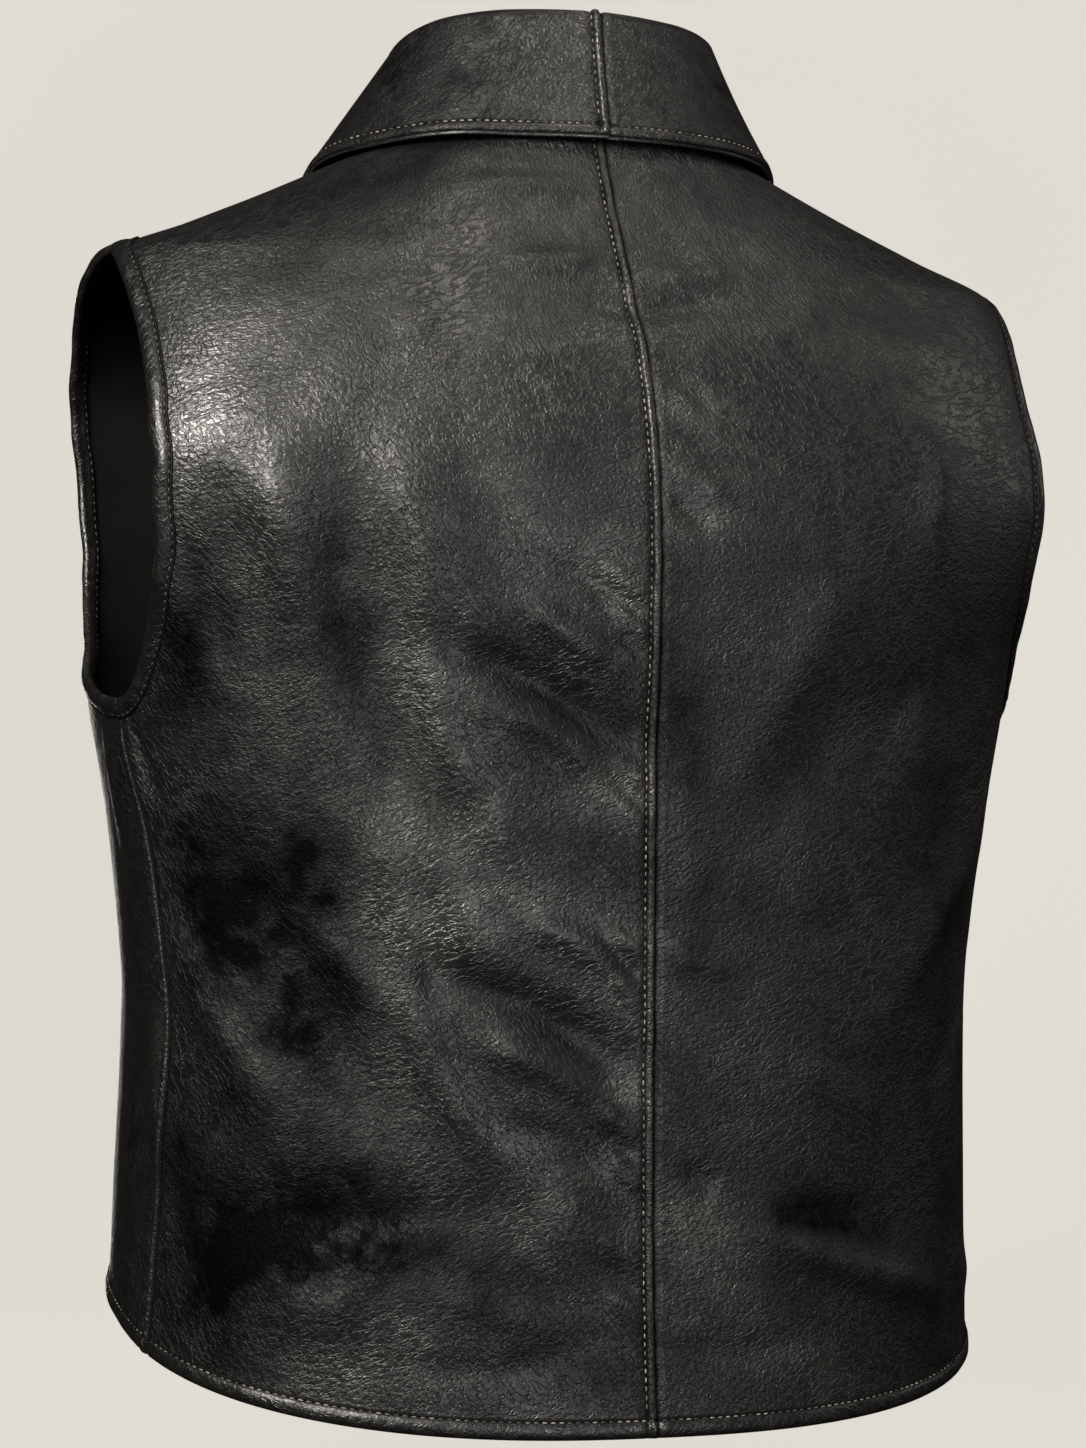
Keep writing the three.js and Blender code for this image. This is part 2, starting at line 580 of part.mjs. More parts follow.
function collarPoint(side, turn, part) {
  const seam = collarSeam(side, turn);
  const roll = rollPoint(turn);
  const row = collarAt(turn);
  const edge = new THREE.Vector3(row.edgeX, row.edgeY, row.edgeZ);
  const along = rollPoint(Math.min(COLLAR.end, turn + 1)).sub(rollPoint(Math.max(0, turn - 1))).normalize();
  const across = (to) => {
    const way = to.clone().sub(roll);
    return way.addScaledVector(along, -way.dot(along)).normalize();
  };
  // The roll turns in the plane square to its own line, between the ways down the stand and the fall
  const outward = across(edge).sub(across(seam)).normalize();
  const upward = across(edge).add(across(seam)).normalize().negate();
  const around = (angle) =>
    roll.clone().addScaledVector(outward, COLLAR.rollRadius * Math.cos(angle))
      .addScaledVector(upward, COLLAR.rollRadius * (Math.sin(angle) - 1));
  let point;
  if (part <= 1) point = seam.lerp(around(Math.PI), part);
  else if (part <= 2) point = around(Math.PI * (2 - part));
  else {
    point = around(0).lerp(edge, part - 2);
    point.addScaledVector(outward, row.bulge * Math.sin(Math.PI * clamp(part - 2, 0, 1)));
  }
  point.x *= side;
  return point;
}

const COLLAR_PARTS = [0, 0.35, 0.7, 1, 1.25, 1.5, 1.75, 2, 2.25, 2.5, 2.75, 3];

function collarLayer(name, side, top, bottom, past, look) {
  const radius = 60;
  const firstTurns = (side > 0 ? RIDGE_STEPS : [HALF_GAP]).map((at) => THREE.MathUtils.radToDeg(at / radius));
  const steps = GRID.collarSteps;
  const lastTurns = Array.from({ length: steps }, (_, i) => mix(9, COLLAR.end, i / (steps - 1)));
  const turns = [...firstTurns, ...lastTurns];
  const parts = COLLAR_PARTS.map((part) => (part === 3 ? 3 + past : part));
  const layer = (depth, ridged) => turns.map((turn) => parts.map((part) => {
    const before = collarPoint(side, Math.max(0.01, turn - 0.5), part);
    const around = collarPoint(side, turn + 0.5, part).sub(before);
    const lower = collarPoint(side, turn, Math.max(0, part - 0.06));
    const along = collarPoint(side, turn, part + 0.06).sub(lower);
    const normal = around.cross(along).normalize().multiplyScalar(side);
    const distance = degrees(turn) * radius;
    const ridge = ridged && side > 0 && distance < SEAM_RIDGE.width + 1 ? ridgeLift(distance) : 0;
    return collarPoint(side, turn, part).addScaledVector(normal, ridge - depth);
  }));
  return wallMesh(name, layer(top, top === 0), layer(bottom, false), false, look);
}

// A domed press stud cap, standing on a base plane with +Z up
function studGeometry() {
  const profile = [new THREE.Vector2(0, 0), new THREE.Vector2(STUD.radius - 0.4, 0)];
  for (let i = 0; i <= STUD.steps; i += 1) {
    const angle = (Math.PI / 2) * (i / STUD.steps);
    const reach = i === STUD.steps ? 0 : STUD.radius * Math.cos(angle);
    profile.push(new THREE.Vector2(reach, 0.5 + (STUD.height - 0.5) * Math.sin(angle)));
  }
  return new THREE.LatheGeometry(profile, STUD.sides).rotateX(Math.PI / 2);
}

const leather = material(0x2b2a28, 0.5, 0);
const boundEdge = material(0x262523, 0.46, 0);
const collarLeather = material(0x2a2927, 0.5, 0);
const metal = material(0x4a4845, 0.32, 1);

const vest = new THREE.Group();
vest.name = "leather_vest";

const body = new THREE.Group();
for (const [sideName, side] of [["left", 1], ["right", -1]]) {
  const grids = { back: panelGrid(side, "back"), front: panelGrid(side, "front") };
  for (const [half, grid] of Object.entries(grids)) {
    body.add(wallMesh(`${half}_${sideName}`, grid.outer, grid.inner, false, leather));
    body.add(hemBand(`hem_band_${half}_${sideName}`, grid, boundEdge));
  }
  body.add(armholeBinding(`armhole_binding_${sideName}`, side, grids, boundEdge));
}
vest.add(body);

const collar = new THREE.Group();
const underTop = COLLAR.leather + SEAM_GAP;
const underBottom = underTop + COLLAR.leather;
for (const [sideName, side] of [["left", 1], ["right", -1]]) {
  const [upperName, underName] = [`collar_upper_${sideName}`, `collar_under_${sideName}`];
  collar.add(collarLayer(upperName, side, 0, COLLAR.leather, 0, collarLeather));
  collar.add(collarLayer(underName, side, underTop, underBottom, 0.016, collarLeather));
}
vest.add(collar);

const studs = new THREE.Group();
const firstStud = neckPlace(1, 180).z - STUD.topDrop;
const lastStud = hemHeight(Math.PI) + STUD.hemRise;
for (let i = 0; i < STUD.count; i += 1) {
  const z = mix(firstStud, lastStud, i / (STUD.count - 1));
  const cap = new THREE.Mesh(studGeometry(), metal);
  cap.name = `press_stud_${i + 1}`;
  cap.position.copy(clothPoint(Math.PI, z, SEAM_GAP + 0.1));
  cap.quaternion.setFromUnitVectors(new THREE.Vector3(0, 0, 1), bodyNormal(Math.PI, z));
  studs.add(cap);
}
vest.add(studs);

export default vest;
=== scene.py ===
"""A short black leather vest, hollow as when it is worn, dressed for a studio picture.

Each sewn piece is a fine shell on the form of its solid in the frame, worked out from the same named
sizes and short tables in millimetres. The wearer faces -Y and the wearer's left is +X. The origin is on
the centre plane at the height of the neck seam.
"""

from __future__ import annotations

import logging
import math
from dataclasses import dataclass, field
from enum import Enum
from typing import Any, Sequence

import bpy
import numpy as np
from mathutils import Matrix, Vector

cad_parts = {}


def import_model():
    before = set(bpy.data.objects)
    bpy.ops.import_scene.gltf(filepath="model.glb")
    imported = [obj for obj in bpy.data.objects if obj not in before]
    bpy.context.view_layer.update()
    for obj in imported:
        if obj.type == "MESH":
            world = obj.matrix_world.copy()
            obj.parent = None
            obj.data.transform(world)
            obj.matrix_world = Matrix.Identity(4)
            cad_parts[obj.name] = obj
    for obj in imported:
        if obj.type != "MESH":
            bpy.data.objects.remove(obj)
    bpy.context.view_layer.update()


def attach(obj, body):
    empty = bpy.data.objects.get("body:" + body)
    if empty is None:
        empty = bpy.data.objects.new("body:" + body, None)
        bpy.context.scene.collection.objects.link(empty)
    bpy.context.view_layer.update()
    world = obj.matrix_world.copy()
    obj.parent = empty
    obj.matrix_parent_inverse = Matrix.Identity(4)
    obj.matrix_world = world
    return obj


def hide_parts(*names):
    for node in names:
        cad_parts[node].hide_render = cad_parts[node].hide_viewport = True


MM = 0.001
Array = np.ndarray
log = logging.getLogger("leather_vest")


class Side(Enum):
    """The wearer's two sides, as the sign of x."""

    LEFT = 1
    RIGHT = -1

    @property
    def word(self) -> str:
        """The side's name in the names of pieces."""
        return self.name.lower()


class Half(Enum):
    """The two halves of the body on each side."""

    BACK = "back"
    FRONT = "front"


# ---- tables of the body's form ----


@dataclass(frozen=True)
class Section:
    """One level section of the body: half width, y at the centre back and front, and y of the widest point."""

    z: float
    half: float
    back: float
    front: float
    middle: float
    square: float = 2.43


SECTIONS = (
    Section(-570, 201.5, 139.8, -118, 0),
    Section(-480, 199.5, 129.0, -116, 1.5),
    Section(-400, 197.5, 125.8, -115, 3),
    Section(-330, 203.3, 122.8, -119, 4.2),
    Section(-265, 214.1, 121.6, -125, 5.3),
    Section(-235, 219.2, 122.6, -124, 5.5),
    Section(-200, 233, 122.4, -121, 5.4),
    Section(-160, 247, 118.5, -113, 5, 2.72),
    Section(-110, 229, 103.6, -103, 3, 3.72),
    Section(-66, 213, 77.0, -86, 0, 3.1),
    Section(-50, 177, 67.5, -77, -4, 2.9),
    Section(-33, 138.6, 57.6, -68, -9, 2.5),
    Section(0, 72, 42.5, -52, -20),
)
BACK_SQUARE = 2.43


@dataclass(frozen=True)
class SeamSpot:
    """Where the side seam lies at a height, in degrees round from the centre back."""

    z: float
    angle: float


SIDE_SEAM = (
    SeamSpot(-567, 79.6),
    SeamSpot(-471, 77.9),
    SeamSpot(-400, 77.4),
    SeamSpot(-331, 79.5),
    SeamSpot(-245, 84.0),
)


@dataclass(frozen=True)
class ArmholeSpot:
    """Where the armhole edge lies, back and front of the arm, at a turn from its top."""

    turn: float
    back: float
    front: float


ARMHOLE_EDGE = (
    ArmholeSpot(0, 0, 0),
    ArmholeSpot(15, 14.6, -21),
    ArmholeSpot(30, 29, -38),
    ArmholeSpot(45, 42.6, -57),
    ArmholeSpot(60, 56, -71.5),
    ArmholeSpot(75, 69, -78),
    ArmholeSpot(90, 76.5, -77.5),
    ArmholeSpot(105, 74.6, -71.5),
    ArmholeSpot(120, 67.3, -62.7),
    ArmholeSpot(135, 57.5, -48),
    ArmholeSpot(150, 49, -28.5),
    ArmholeSpot(165, 41, -1.5),
    ArmholeSpot(180, 30.5, 30.5),
)


@dataclass(frozen=True)
class CollarSpot:
    """The collar's roll line and the lower edge of its fall, at a turn round the neck."""

    turn: float
    roll_x: float
    roll_y: float
    roll_z: float
    edge_x: float
    edge_y: float
    edge_z: float
    bulge: float


COLLAR_LINES = (
    CollarSpot(0, 0, 35.3, 50.9, 0, 53.4, -5.7, -1),
    CollarSpot(30, 37.5, 27, 50, 56, 44.5, -6.3, -1),
    CollarSpot(60, 65, 5, 46, 96, 16, -10, -1),
    CollarSpot(90, 73.5, -24, 37, 114.5, -28, -17, 0),
    CollarSpot(105, 70, -40, 24, 113, -54, -28, 2.5),
    CollarSpot(120, 62, -56, 8, 107, -77, -48, 4.5),
    CollarSpot(150, 37, -79, -35, 85, -99, -84, 5),
    CollarSpot(172, 10, -88, -56, 60, -110, -113, 3),
)


@dataclass(frozen=True)
class Crease:
    """A main crease of the leather, from one point to another, with a sideways bow. Below 0 it is a trough."""

    girth0: float
    z0: float
    girth1: float
    z1: float
    bow: float
    width: float
    height: float

    def lift(self, girth: Array, z: Array) -> Array:
        """Height of the crease at places on the leather.

        Args:
            girth: Distance round the body from the centre back, in mm.
            z: Height, in mm.

        Returns:
            The lift at each place, in mm.
        """
        run_g, run_z = self.girth1 - self.girth0, self.z1 - self.z0
        length = math.hypot(run_g, run_z)
        along = ((girth - self.girth0) * run_g + (z - self.z0) * run_z) / length**2
        inside = np.clip(along, 0, 1)
        aside = ((girth - self.girth0) * run_z - (z - self.z0) * run_g) / length
        across = (aside - self.bow * 4 * inside * (1 - inside)) / self.width
        past = (along - inside) * length / (self.width * 1.3)
        return self.height * np.exp(-(across**2) - past**2)


# The same creases as in the solids, which the finer folds follow
MAIN_CREASES = (
    Crease(196, -125, 165, -165, 0, 26, 3.2),
    Crease(134, -160, 117, -290, 5, 15, -3.2),
    Crease(106, -168, 70, -312, 9, 17, 2.8),
    Crease(92, -234, 17, -271, 4, 14, -2.6),
    Crease(112, -318, 40, -480, 15, 17, 3.0),
    Crease(93, -368, 19, -409, 4, 14, -2.8),
    Crease(180, -330, 124, -420, -6, 16, -2.8),
    Crease(207, -370, 163, -426, 0, 15, 2.4),
    Crease(152, -507, 118, -506, 0, 20, 2.2),
    Crease(169, -470, 84, -472, 0, 15, -2.2),
    Crease(-57, -486, -140, -519, 4, 13, 2.2),
    Crease(-144, -138, -136, -184, 0, 14, 2.0),
    Crease(-120, -250, -60, -300, -6, 18, -2.0),
    Crease(-190, -320, -120, -392, -8, 18, 2.2),
    Crease(322, -250, 395, -318, 7, 16, -2.4),
    Crease(330, -330, 425, -428, 9, 17, 2.4),
    Crease(-318, -262, -402, -334, -8, 16, -2.4),
    Crease(-344, -372, -430, -448, -6, 17, 2.4),
)


@dataclass(frozen=True)
class Fold:
    """A finer fold along a given path of (girth, z) points. A lean makes one flank the steeper."""

    path: tuple[tuple[float, float], ...]
    width: float
    height: float
    lean: float = 0.0

    def lift(self, girth: Array, z: Array) -> Array:
        """Height of the fold at places on the leather.

        Args:
            girth: Distance round the body from the centre back, in mm.
            z: Height, in mm.

        Returns:
            The lift at each place, in mm.
        """
        out = np.zeros_like(girth)
        ends = np.array(self.path)
        low, high = ends.min(0) - 3.2 * self.width, ends.max(0) + 3.2 * self.width
        near = (girth > low[0]) & (girth < high[0]) & (z > low[1]) & (z < high[1])
        if not near.any():
            return out
        line = smooth_path(ends, 14 if len(ends) > 2 else 2)
        spot = np.stack([girth[near], z[near]], -1)
        best = np.full(len(spot), 1e9)
        aside = np.zeros(len(spot))
        share = np.zeros(len(spot))
        last = len(line) - 1
        for i in range(last):
            run = line[i + 1] - line[i]
            off = spot - line[i]
            t = np.clip((off @ run) / (run @ run), 0, 1)
            rest = off - t[:, None] * run
            gap = np.hypot(rest[:, 0], rest[:, 1])
            closer = gap < best
            best = np.where(closer, gap, best)
            turn = off[:, 0] * run[1] - off[:, 1] * run[0]
            aside = np.where(closer, np.sign(turn) * gap, aside)
            share = np.where(closer, (i + t) / last, share)
        fade = smooth_step(share / 0.3) * smooth_step((1 - share) / 0.3) * 0.75 + 0.25
        across = aside / (self.width * (1 + self.lean * np.tanh(aside / self.width)))
        out[near] = self.height * fade * np.exp(-(across**2))
        return out


FINE_FOLDS = (
    # Left shoulder and shoulder blade
    Fold(((192, -128), (180, -142), (167, -152)), 15, 0.6),
    Fold(((178, -158), (174, -180), (172, -204)), 8, -1.0, 0.3),
    Fold(((160, -152), (156, -186), (150, -226)), 8, 1.5),
    Fold(((205, -170), (202, -196), (196, -232)), 8, 1.1),
    Fold(((189, -196), (186, -222), (180, -246)), 6, -1.0),
    Fold(((134, -170), (134, -214), (118, -284)), 8, -1.8, -0.3),
    Fold(((108, -176), (101, -236), (94, -274), (72, -308)), 8, 1.7),
    # Diagonals of the left back
    Fold(((92, -235), (58, -247), (18, -270)), 6.5, -2.3, 0.3),
    Fold(((78, -258), (48, -268), (22, -288)), 6, 1.8),
    Fold(((64, -214), (44, -226), (20, -240)), 7, 1.8),
    Fold(((52, -196), (34, -204), (14, -222)), 5, -0.9),
    Fold(((118, -300), (104, -330), (92, -356)), 7, -1.0),
    Fold(((112, -322), (105, -380), (86, -422), (56, -456)), 8, 1.9),
    Fold(((93, -372), (54, -385), (19, -406)), 6.5, -2.4, 0.3),
    Fold(((76, -398), (46, -410), (18, -428)), 6, 1.9),
    Fold(((60, -348), (36, -356), (14, -372)), 6, 1.6),
    Fold(((66, -432), (40, -440), (16, -456)), 6, -1.1),
    Fold(((180, -334), (140, -380), (124, -418)), 8, -1.4),
    Fold(((152, -348), (126, -372), (112, -392)), 6, 0.9),
    Fold(((206, -374), (186, -398), (164, -424)), 8, 1.1),
    Fold(((222, -330), (206, -352), (192, -368)), 7, -0.9),
    Fold(((170, -468), (128, -472), (86, -470)), 8, -1.2, 0.3),
    Fold(((154, -506), (136, -510), (116, -505)), 10, 1.0),
    Fold(((92, -500), (62, -512), (30, -520)), 7, 1.0),
    Fold(((100, -532), (64, -536), (24, -528)), 6, -0.8),
    Fold(((214, -452), (206, -486), (190, -512)), 9, -1.0),
    Fold(((232, -400), (226, -440), (214, -470)), 8, 0.9),
    # Puckers beside the centre seam, left
    Fold(((26, -196), (14, -206), (5, -210)), 2.6, 0.8),
    Fold(((28, -204), (15, -214), (5, -219)), 2.4, -0.8),
    Fold(((24, -212), (12, -222), (5, -229)), 2.8, 0.8),
    Fold(((20, -226), (12, -232), (5, -238)), 2.4, -0.6),
    Fold(((22, -276), (12, -284), (4, -290)), 2.8, 0.8),
    Fold(((24, -286), (13, -293), (4, -299)), 2.6, -0.7),
    Fold(((18, -298), (10, -304), (4, -310)), 2.8, 0.6),
    Fold(((26, -346), (14, -356), (4, -362)), 2.8, 0.8),
    Fold(((24, -358), (13, -367), (4, -374)), 2.6, -0.8),
    Fold(((20, -370), (12, -378), (4, -386)), 3.0, 0.7),
    Fold(((28, -424), (15, -434), (4, -440)), 3.0, 0.8),
    Fold(((26, -436), (14, -444), (4, -452)), 2.6, -0.8),
    Fold(((20, -448), (12, -455), (4, -462)), 2.8, 0.7),
    Fold(((26, -478), (14, -488), (4, -494)), 2.8, 0.7),
    Fold(((26, -490), (14, -500), (4, -507)), 2.6, -0.7),
    Fold(((20, -504), (12, -512), (4, -520)), 3.0, 0.7),
    # Yoke, just under the collar
    Fold(((133, -34), (70, -30), (10, -31)), 5, 1.1),
    Fold(((88, -66), (54, -66), (19, -62)), 6, 1.3),
    Fold(((48, -79), (4, -86), (-38, -82), (-75, -74)), 6, -1.2),
    Fold(((-8, -70), (-46, -70), (-84, -64)), 6, 1.2),
    Fold(((-6, -112), (-20, -120), (-36, -131)), 5, -1.1),
    Fold(((-8, -122), (-22, -131), (-40, -142)), 5, 0.9),
    Fold(((-60, -96), (-92, -92), (-120, -78)), 7, 0.9),
    Fold(((96, -102), (62, -108), (26, -102)), 8, 0.9),
    Fold(((150, -70), (128, -88), (110, -112)), 9, 1.0),
    # Right back
    Fold(((-4, -152), (-18, -158), (-34, -168)), 4, 0.8),
    Fold(((-4, -166), (-14, -174), (-26, -184)), 4, -0.7),
    Fold(((-58, -480), (-84, -478), (-112, -487)), 7, -3.0, 0.3),
    Fold(((-56, -484), (-90, -503), (-140, -518)), 7, 1.9),
    Fold(((-14, -452), (-22, -460), (-30, -464)), 6, -1.2),
    Fold(((-146, -142), (-140, -160), (-136, -182)), 8, 1.0),
    Fold(((-98, -200), (-70, -236), (-48, -278)), 14, 1.2),
    Fold(((-150, -236), (-122, -262), (-102, -300)), 11, -1.2),
    Fold(((-36, -330), (-66, -352), (-104, -360)), 11, -1.0),
    Fold(((-4, -356), (-20, -366), (-40, -372)), 5, 0.8),
    Fold(((-190, -322), (-156, -350), (-124, -386)), 9, 1.2),
    Fold(((-210, -378), (-176, -404), (-146, -436)), 10, -1.2),
    Fold(((-60, -410), (-90, -424), (-118, -446)), 10, 1.0),
    Fold(((-4, -530), (-40, -534), (-76, -528)), 7, -0.8),
    Fold(((-160, -500), (-186, -516), (-214, -520)), 9, 0.9),
    # Underarm tucks, both sides
    Fold(((238, -266), (234, -288), (226, -312)), 4, 0.9),
    Fold(((231, -266), (226, -286), (216, -304)), 3.4, -0.8),
    Fold(((246, -268), (244, -292), (240, -322)), 4, -0.8),
    Fold(((262, -268), (262, -296), (258, -330)), 5, 0.9),
    Fold(((-238, -266), (-233, -290), (-224, -310)), 4, 0.9),
    Fold(((-247, -268), (-246, -290), (-240, -318)), 4, -0.8),
    # Fronts
    Fold(((300, -262), (330, -292), (352, -330)), 9, 1.3),
    Fold(((322, -252), (360, -282), (394, -316)), 9, -1.3),
    Fold(((332, -332), (378, -372), (424, -426)), 9, 1.3),
    Fold(((300, -384), (338, -420), (360, -462)), 10, -1.1),
    Fold(((420, -180), (452, -222), (470, -262)), 12, 1.0),
    Fold(((440, -470), (478, -486), (508, -482)), 9, 1.0),
    Fold(((-302, -268), (-334, -300), (-350, -342)), 9, 1.2),
    Fold(((-320, -264), (-364, -300), (-402, -332)), 9, -1.3),
    Fold(((-346, -374), (-390, -414), (-428, -446)), 9, 1.3),
    Fold(((-298, -420), (-330, -450), (-352, -486)), 10, -1.1),
    Fold(((-424, -190), (-448, -226), (-462, -270)), 12, 1.0),
)


@dataclass(frozen=True)
class Patch:
    """A soft patch along a given line on the leather: painted highlight and more gloss above 0, painted shade and less
    gloss below 0.
    """

    girth0: float
    z0: float
    girth1: float
    z1: float
    width: float
    amount: float

    def wear(self, girth: Array, z: Array) -> Array:
        """The patch's share of the painted highlight and shade, with the gloss, at places on the leather.

        Args:
            girth: Distance round the body from the centre back, in mm.
            z: Height, in mm.

        Returns:
            The painted light and gloss at each place.
        """
        run_g, run_z = self.girth1 - self.girth0, self.z1 - self.z0
        along = np.clip(((girth - self.girth0) * run_g + (z - self.z0) * run_z) / (run_g**2 + run_z**2), 0, 1)
        aside = np.hypot(girth - self.girth0 - along * run_g, z - self.z0 - along * run_z)
        return self.amount * np.exp(-((aside / self.width) ** 2))


# Painted highlights above 0 and painted shade below 0, in soft patches over the leather, with glossier and duller
# leather to match
PAINTED_LIGHT_PATCHES = (
    # Left shoulder, shoulder blade and yoke
    Patch(193, -108, 198, -180, 19, 1.2),
    Patch(170, -62, 200, -84, 22, -0.5),
    Patch(153, -136, 156, -186, 13, 0.9),
    Patch(78, -150, 70, -186, 18, 0.6),
    Patch(140, -69, 44, -37, 21, 0.4),
    Patch(103, -130, 68, -112, 23, 0.5),
    Patch(131, -168, 134, -235, 16, -1.05),
    Patch(129, -239, 106, -290, 15, -1.0),
    Patch(186, -188, 199, -266, 15, -0.8),
    Patch(167, -174, 157, -257, 12, -0.5),
    Patch(196, -37, 150, -26, 12, -0.9),
    # Left waist and lower back
    Patch(46, -196, 24, -204, 14, 0.5),
    Patch(18, -206, 4, -214, 8, 1.2),
    Patch(97, -264, 78, -310, 12, 0.7),
    Patch(26, -286, 5, -293, 9, 1.2),
    Patch(90, -351, 60, -339, 16, 0.4),
    Patch(42, -381, 11, -382, 14, 0.3),
    Patch(18, -350, 4, -357, 8, 1.2),
    Patch(16, -420, 4, -428, 8, 1.0),
    Patch(87, -418, 40, -465, 13, 0.7),
    Patch(23, -449, 6, -471, 14, 0.5),
    Patch(129, -518, 92, -526, 12, 0.2),
    Patch(160, -540, 190, -556, 16, -0.9),
    Patch(195, -389, 168, -416, 7, 0.5),
    Patch(47, -149, 13, -144, 12, -0.6),
    Patch(80, -247, 17, -271, 11, -0.9),
    Patch(39, -314, 12, -326, 12, -0.6),
    Patch(80, -376, 15, -403, 12, -0.9),
    Patch(194, -325, 136, -436, 28, -1.6),
    Patch(209, -450, 191, -511, 28, -1.5),
    Patch(170, -480, 78, -490, 25, -1.9),
    Patch(205, -240, 150, -320, 26, -1.3),
    Patch(150, -320, 128, -380, 14, -1.0),
    Patch(196, -350, 160, -500, 34, -0.6),
    Patch(55, -502, 23, -540, 14, -0.4),
    # Right back
    Patch(-4, -126, -34, -133, 12, 0.6),
    Patch(-20, -156, -50, -155, 18, 0.4),
    Patch(-12, -476, -37, -499, 14, 0.5),
    Patch(-45, -24, -119, -25, 12, -0.6),
    Patch(-4, -212, -21, -340, 14, -0.9),
    Patch(-16, -340, -21, -365, 14, -1.1),
    Patch(-57, -477, -112, -489, 9, -2.0),
    Patch(-97, -218, -70, -280, 18, -0.5),
    Patch(-8, -300, -14, -328, 7, 0.7),
    Patch(-100, -70, -150, -110, 22, 0.5),
    Patch(-21, -421, -34, -456, 14, -0.5),
    Patch(-150, -216, -160, -558, 30, -0.9),
    # Side seams
    Patch(233, -358, 226, -430, 10, 0.5),
    Patch(252, -294, 260, -523, 16, -0.8),
    Patch(-252, -294, -262, -523, 16, -0.7),
    # Fronts, which the picture doesn't show
    Patch(352, -70, 330, -150, 20, 0.7),
    Patch(330, -230, 372, -300, 18, -0.7),
    Patch(430, -200, 452, -330, 18, 0.5),
    Patch(400, -360, 340, -430, 22, -0.8),
    Patch(440, -440, 484, -520, 18, -0.6),
    Patch(330, -470, 380, -540, 18, 0.4),
    Patch(-348, -64, -334, -146, 20, 0.7),
    Patch(-326, -240, -360, -318, 18, -0.7),
    Patch(-424, -210, -446, -300, 18, 0.4),
    Patch(-410, -350, -352, -420, 22, -0.8),
    Patch(-440, -430, -470, -500, 18, 0.5),
    Patch(-330, -480, -372, -544, 18, -0.6),
)


# ---- small sums ----


def smooth_step(t: Array) -> Array:
    """A soft rise from 0 to 1 as t goes from 0 to 1."""
    c = np.clip(t, 0, 1)
    return c * c * (3 - 2 * c)


def blend_between(a: Any, b: Any, t: Any) -> Any:
    """The value a share t of the way from a to b."""
    return a + (b - a) * t


def unit(v: Array) -> Array:
    """Vectors of the same directions and of length one."""
    return v / np.maximum(np.linalg.norm(v, axis=-1, keepdims=True), 1e-12)


def smooth_path(points: Array, steps: int) -> Array:
    """A curve through a few points.

    Args:
        points: The points that it passes, one a row.
        steps: Steps from each point to the next.

    Returns:
        The points of the curve, one a row.
    """
    padded = np.vstack([2 * points[0] - points[1], points, 2 * points[-1] - points[-2]])
    out = []
    for i in range(1, len(padded) - 2):
        p0, p1, p2, p3 = padded[i - 1 : i + 3]
        for t in np.linspace(0, 1, steps, endpoint=False):
            square = 2 * p0 - 5 * p1 + 4 * p2 - p3
            cube = 3 * p1 - p0 - 3 * p2 + p3
            out.append(0.5 * (2 * p1 + (p2 - p0) * t + square * t**2 + cube * t**3))
    out.append(points[-1])
    return np.array(out)


class Reader:
    """Reads the columns of a short table smoothly, and never overshoots its rows."""

    def __init__(self, rows: Sequence[Any], key: str) -> None:
        """Works out the slopes of each column.

        Args:
            rows: Dataclass rows in rising order of the key.
            key: The name of the column that the others are read by.
        """
        names = [name for name in rows[0].__dataclass_fields__ if name != key]
        self.keys = np.array([getattr(row, key) for row in rows], float)
        self.values = {name: np.array([getattr(row, name) for row in rows], float) for name in names}
        self.slopes = {name: self._slopes(column) for name, column in self.values.items()}

    def _slopes(self, column: Array) -> Array:
        """Slopes at the rows that keep each rise or fall of a column one-way."""
        steps = np.diff(self.keys)
        rises = np.diff(column) / steps
        out = np.zeros(len(column))
        for i in range(1, len(column) - 1):
            if rises[i - 1] * rises[i] > 0:
                w1, w2 = 2 * steps[i] + steps[i - 1], steps[i] + 2 * steps[i - 1]
                out[i] = (w1 + w2) / (w1 / rises[i - 1] + w2 / rises[i])
        for i, a, b in ((0, 0, 1), (-1, -1, -2)):
            slope = ((2 * steps[a] + steps[b]) * rises[a] - steps[a] * rises[b]) / (steps[a] + steps[b])
            if slope * rises[a] <= 0:
                slope = 0.0
            elif rises[a] * rises[b] <= 0 and abs(slope) > 3 * abs(rises[a]):
                slope = 3 * rises[a]
            out[i] = slope
        return out

    def __call__(self, at: Any) -> dict[str, Array]:
        """Every column at given values of the key."""
        value = np.clip(np.asarray(at, float), self.keys[0], self.keys[-1])
        i = np.clip(np.searchsorted(self.keys, value, side="left") - 1, 0, len(self.keys) - 2)
        h = self.keys[i + 1] - self.keys[i]
        t = (value - self.keys[i]) / h
        out = {}
        for name, column in self.values.items():
            slope = self.slopes[name]
            out[name] = (
                column[i] * (1 + 2 * t) * (1 - t) ** 2
                + slope[i] * h * t * (1 - t) ** 2
                + column[i + 1] * t * t * (3 - 2 * t)
                + slope[i + 1] * h * t * t * (t - 1)
            )
        return out


# ---- the body's surface ----


@dataclass(frozen=True)
class Place:
    """Places on the body: angles round from the centre back, in radians, and heights in mm."""

    angle: Array
    z: Array


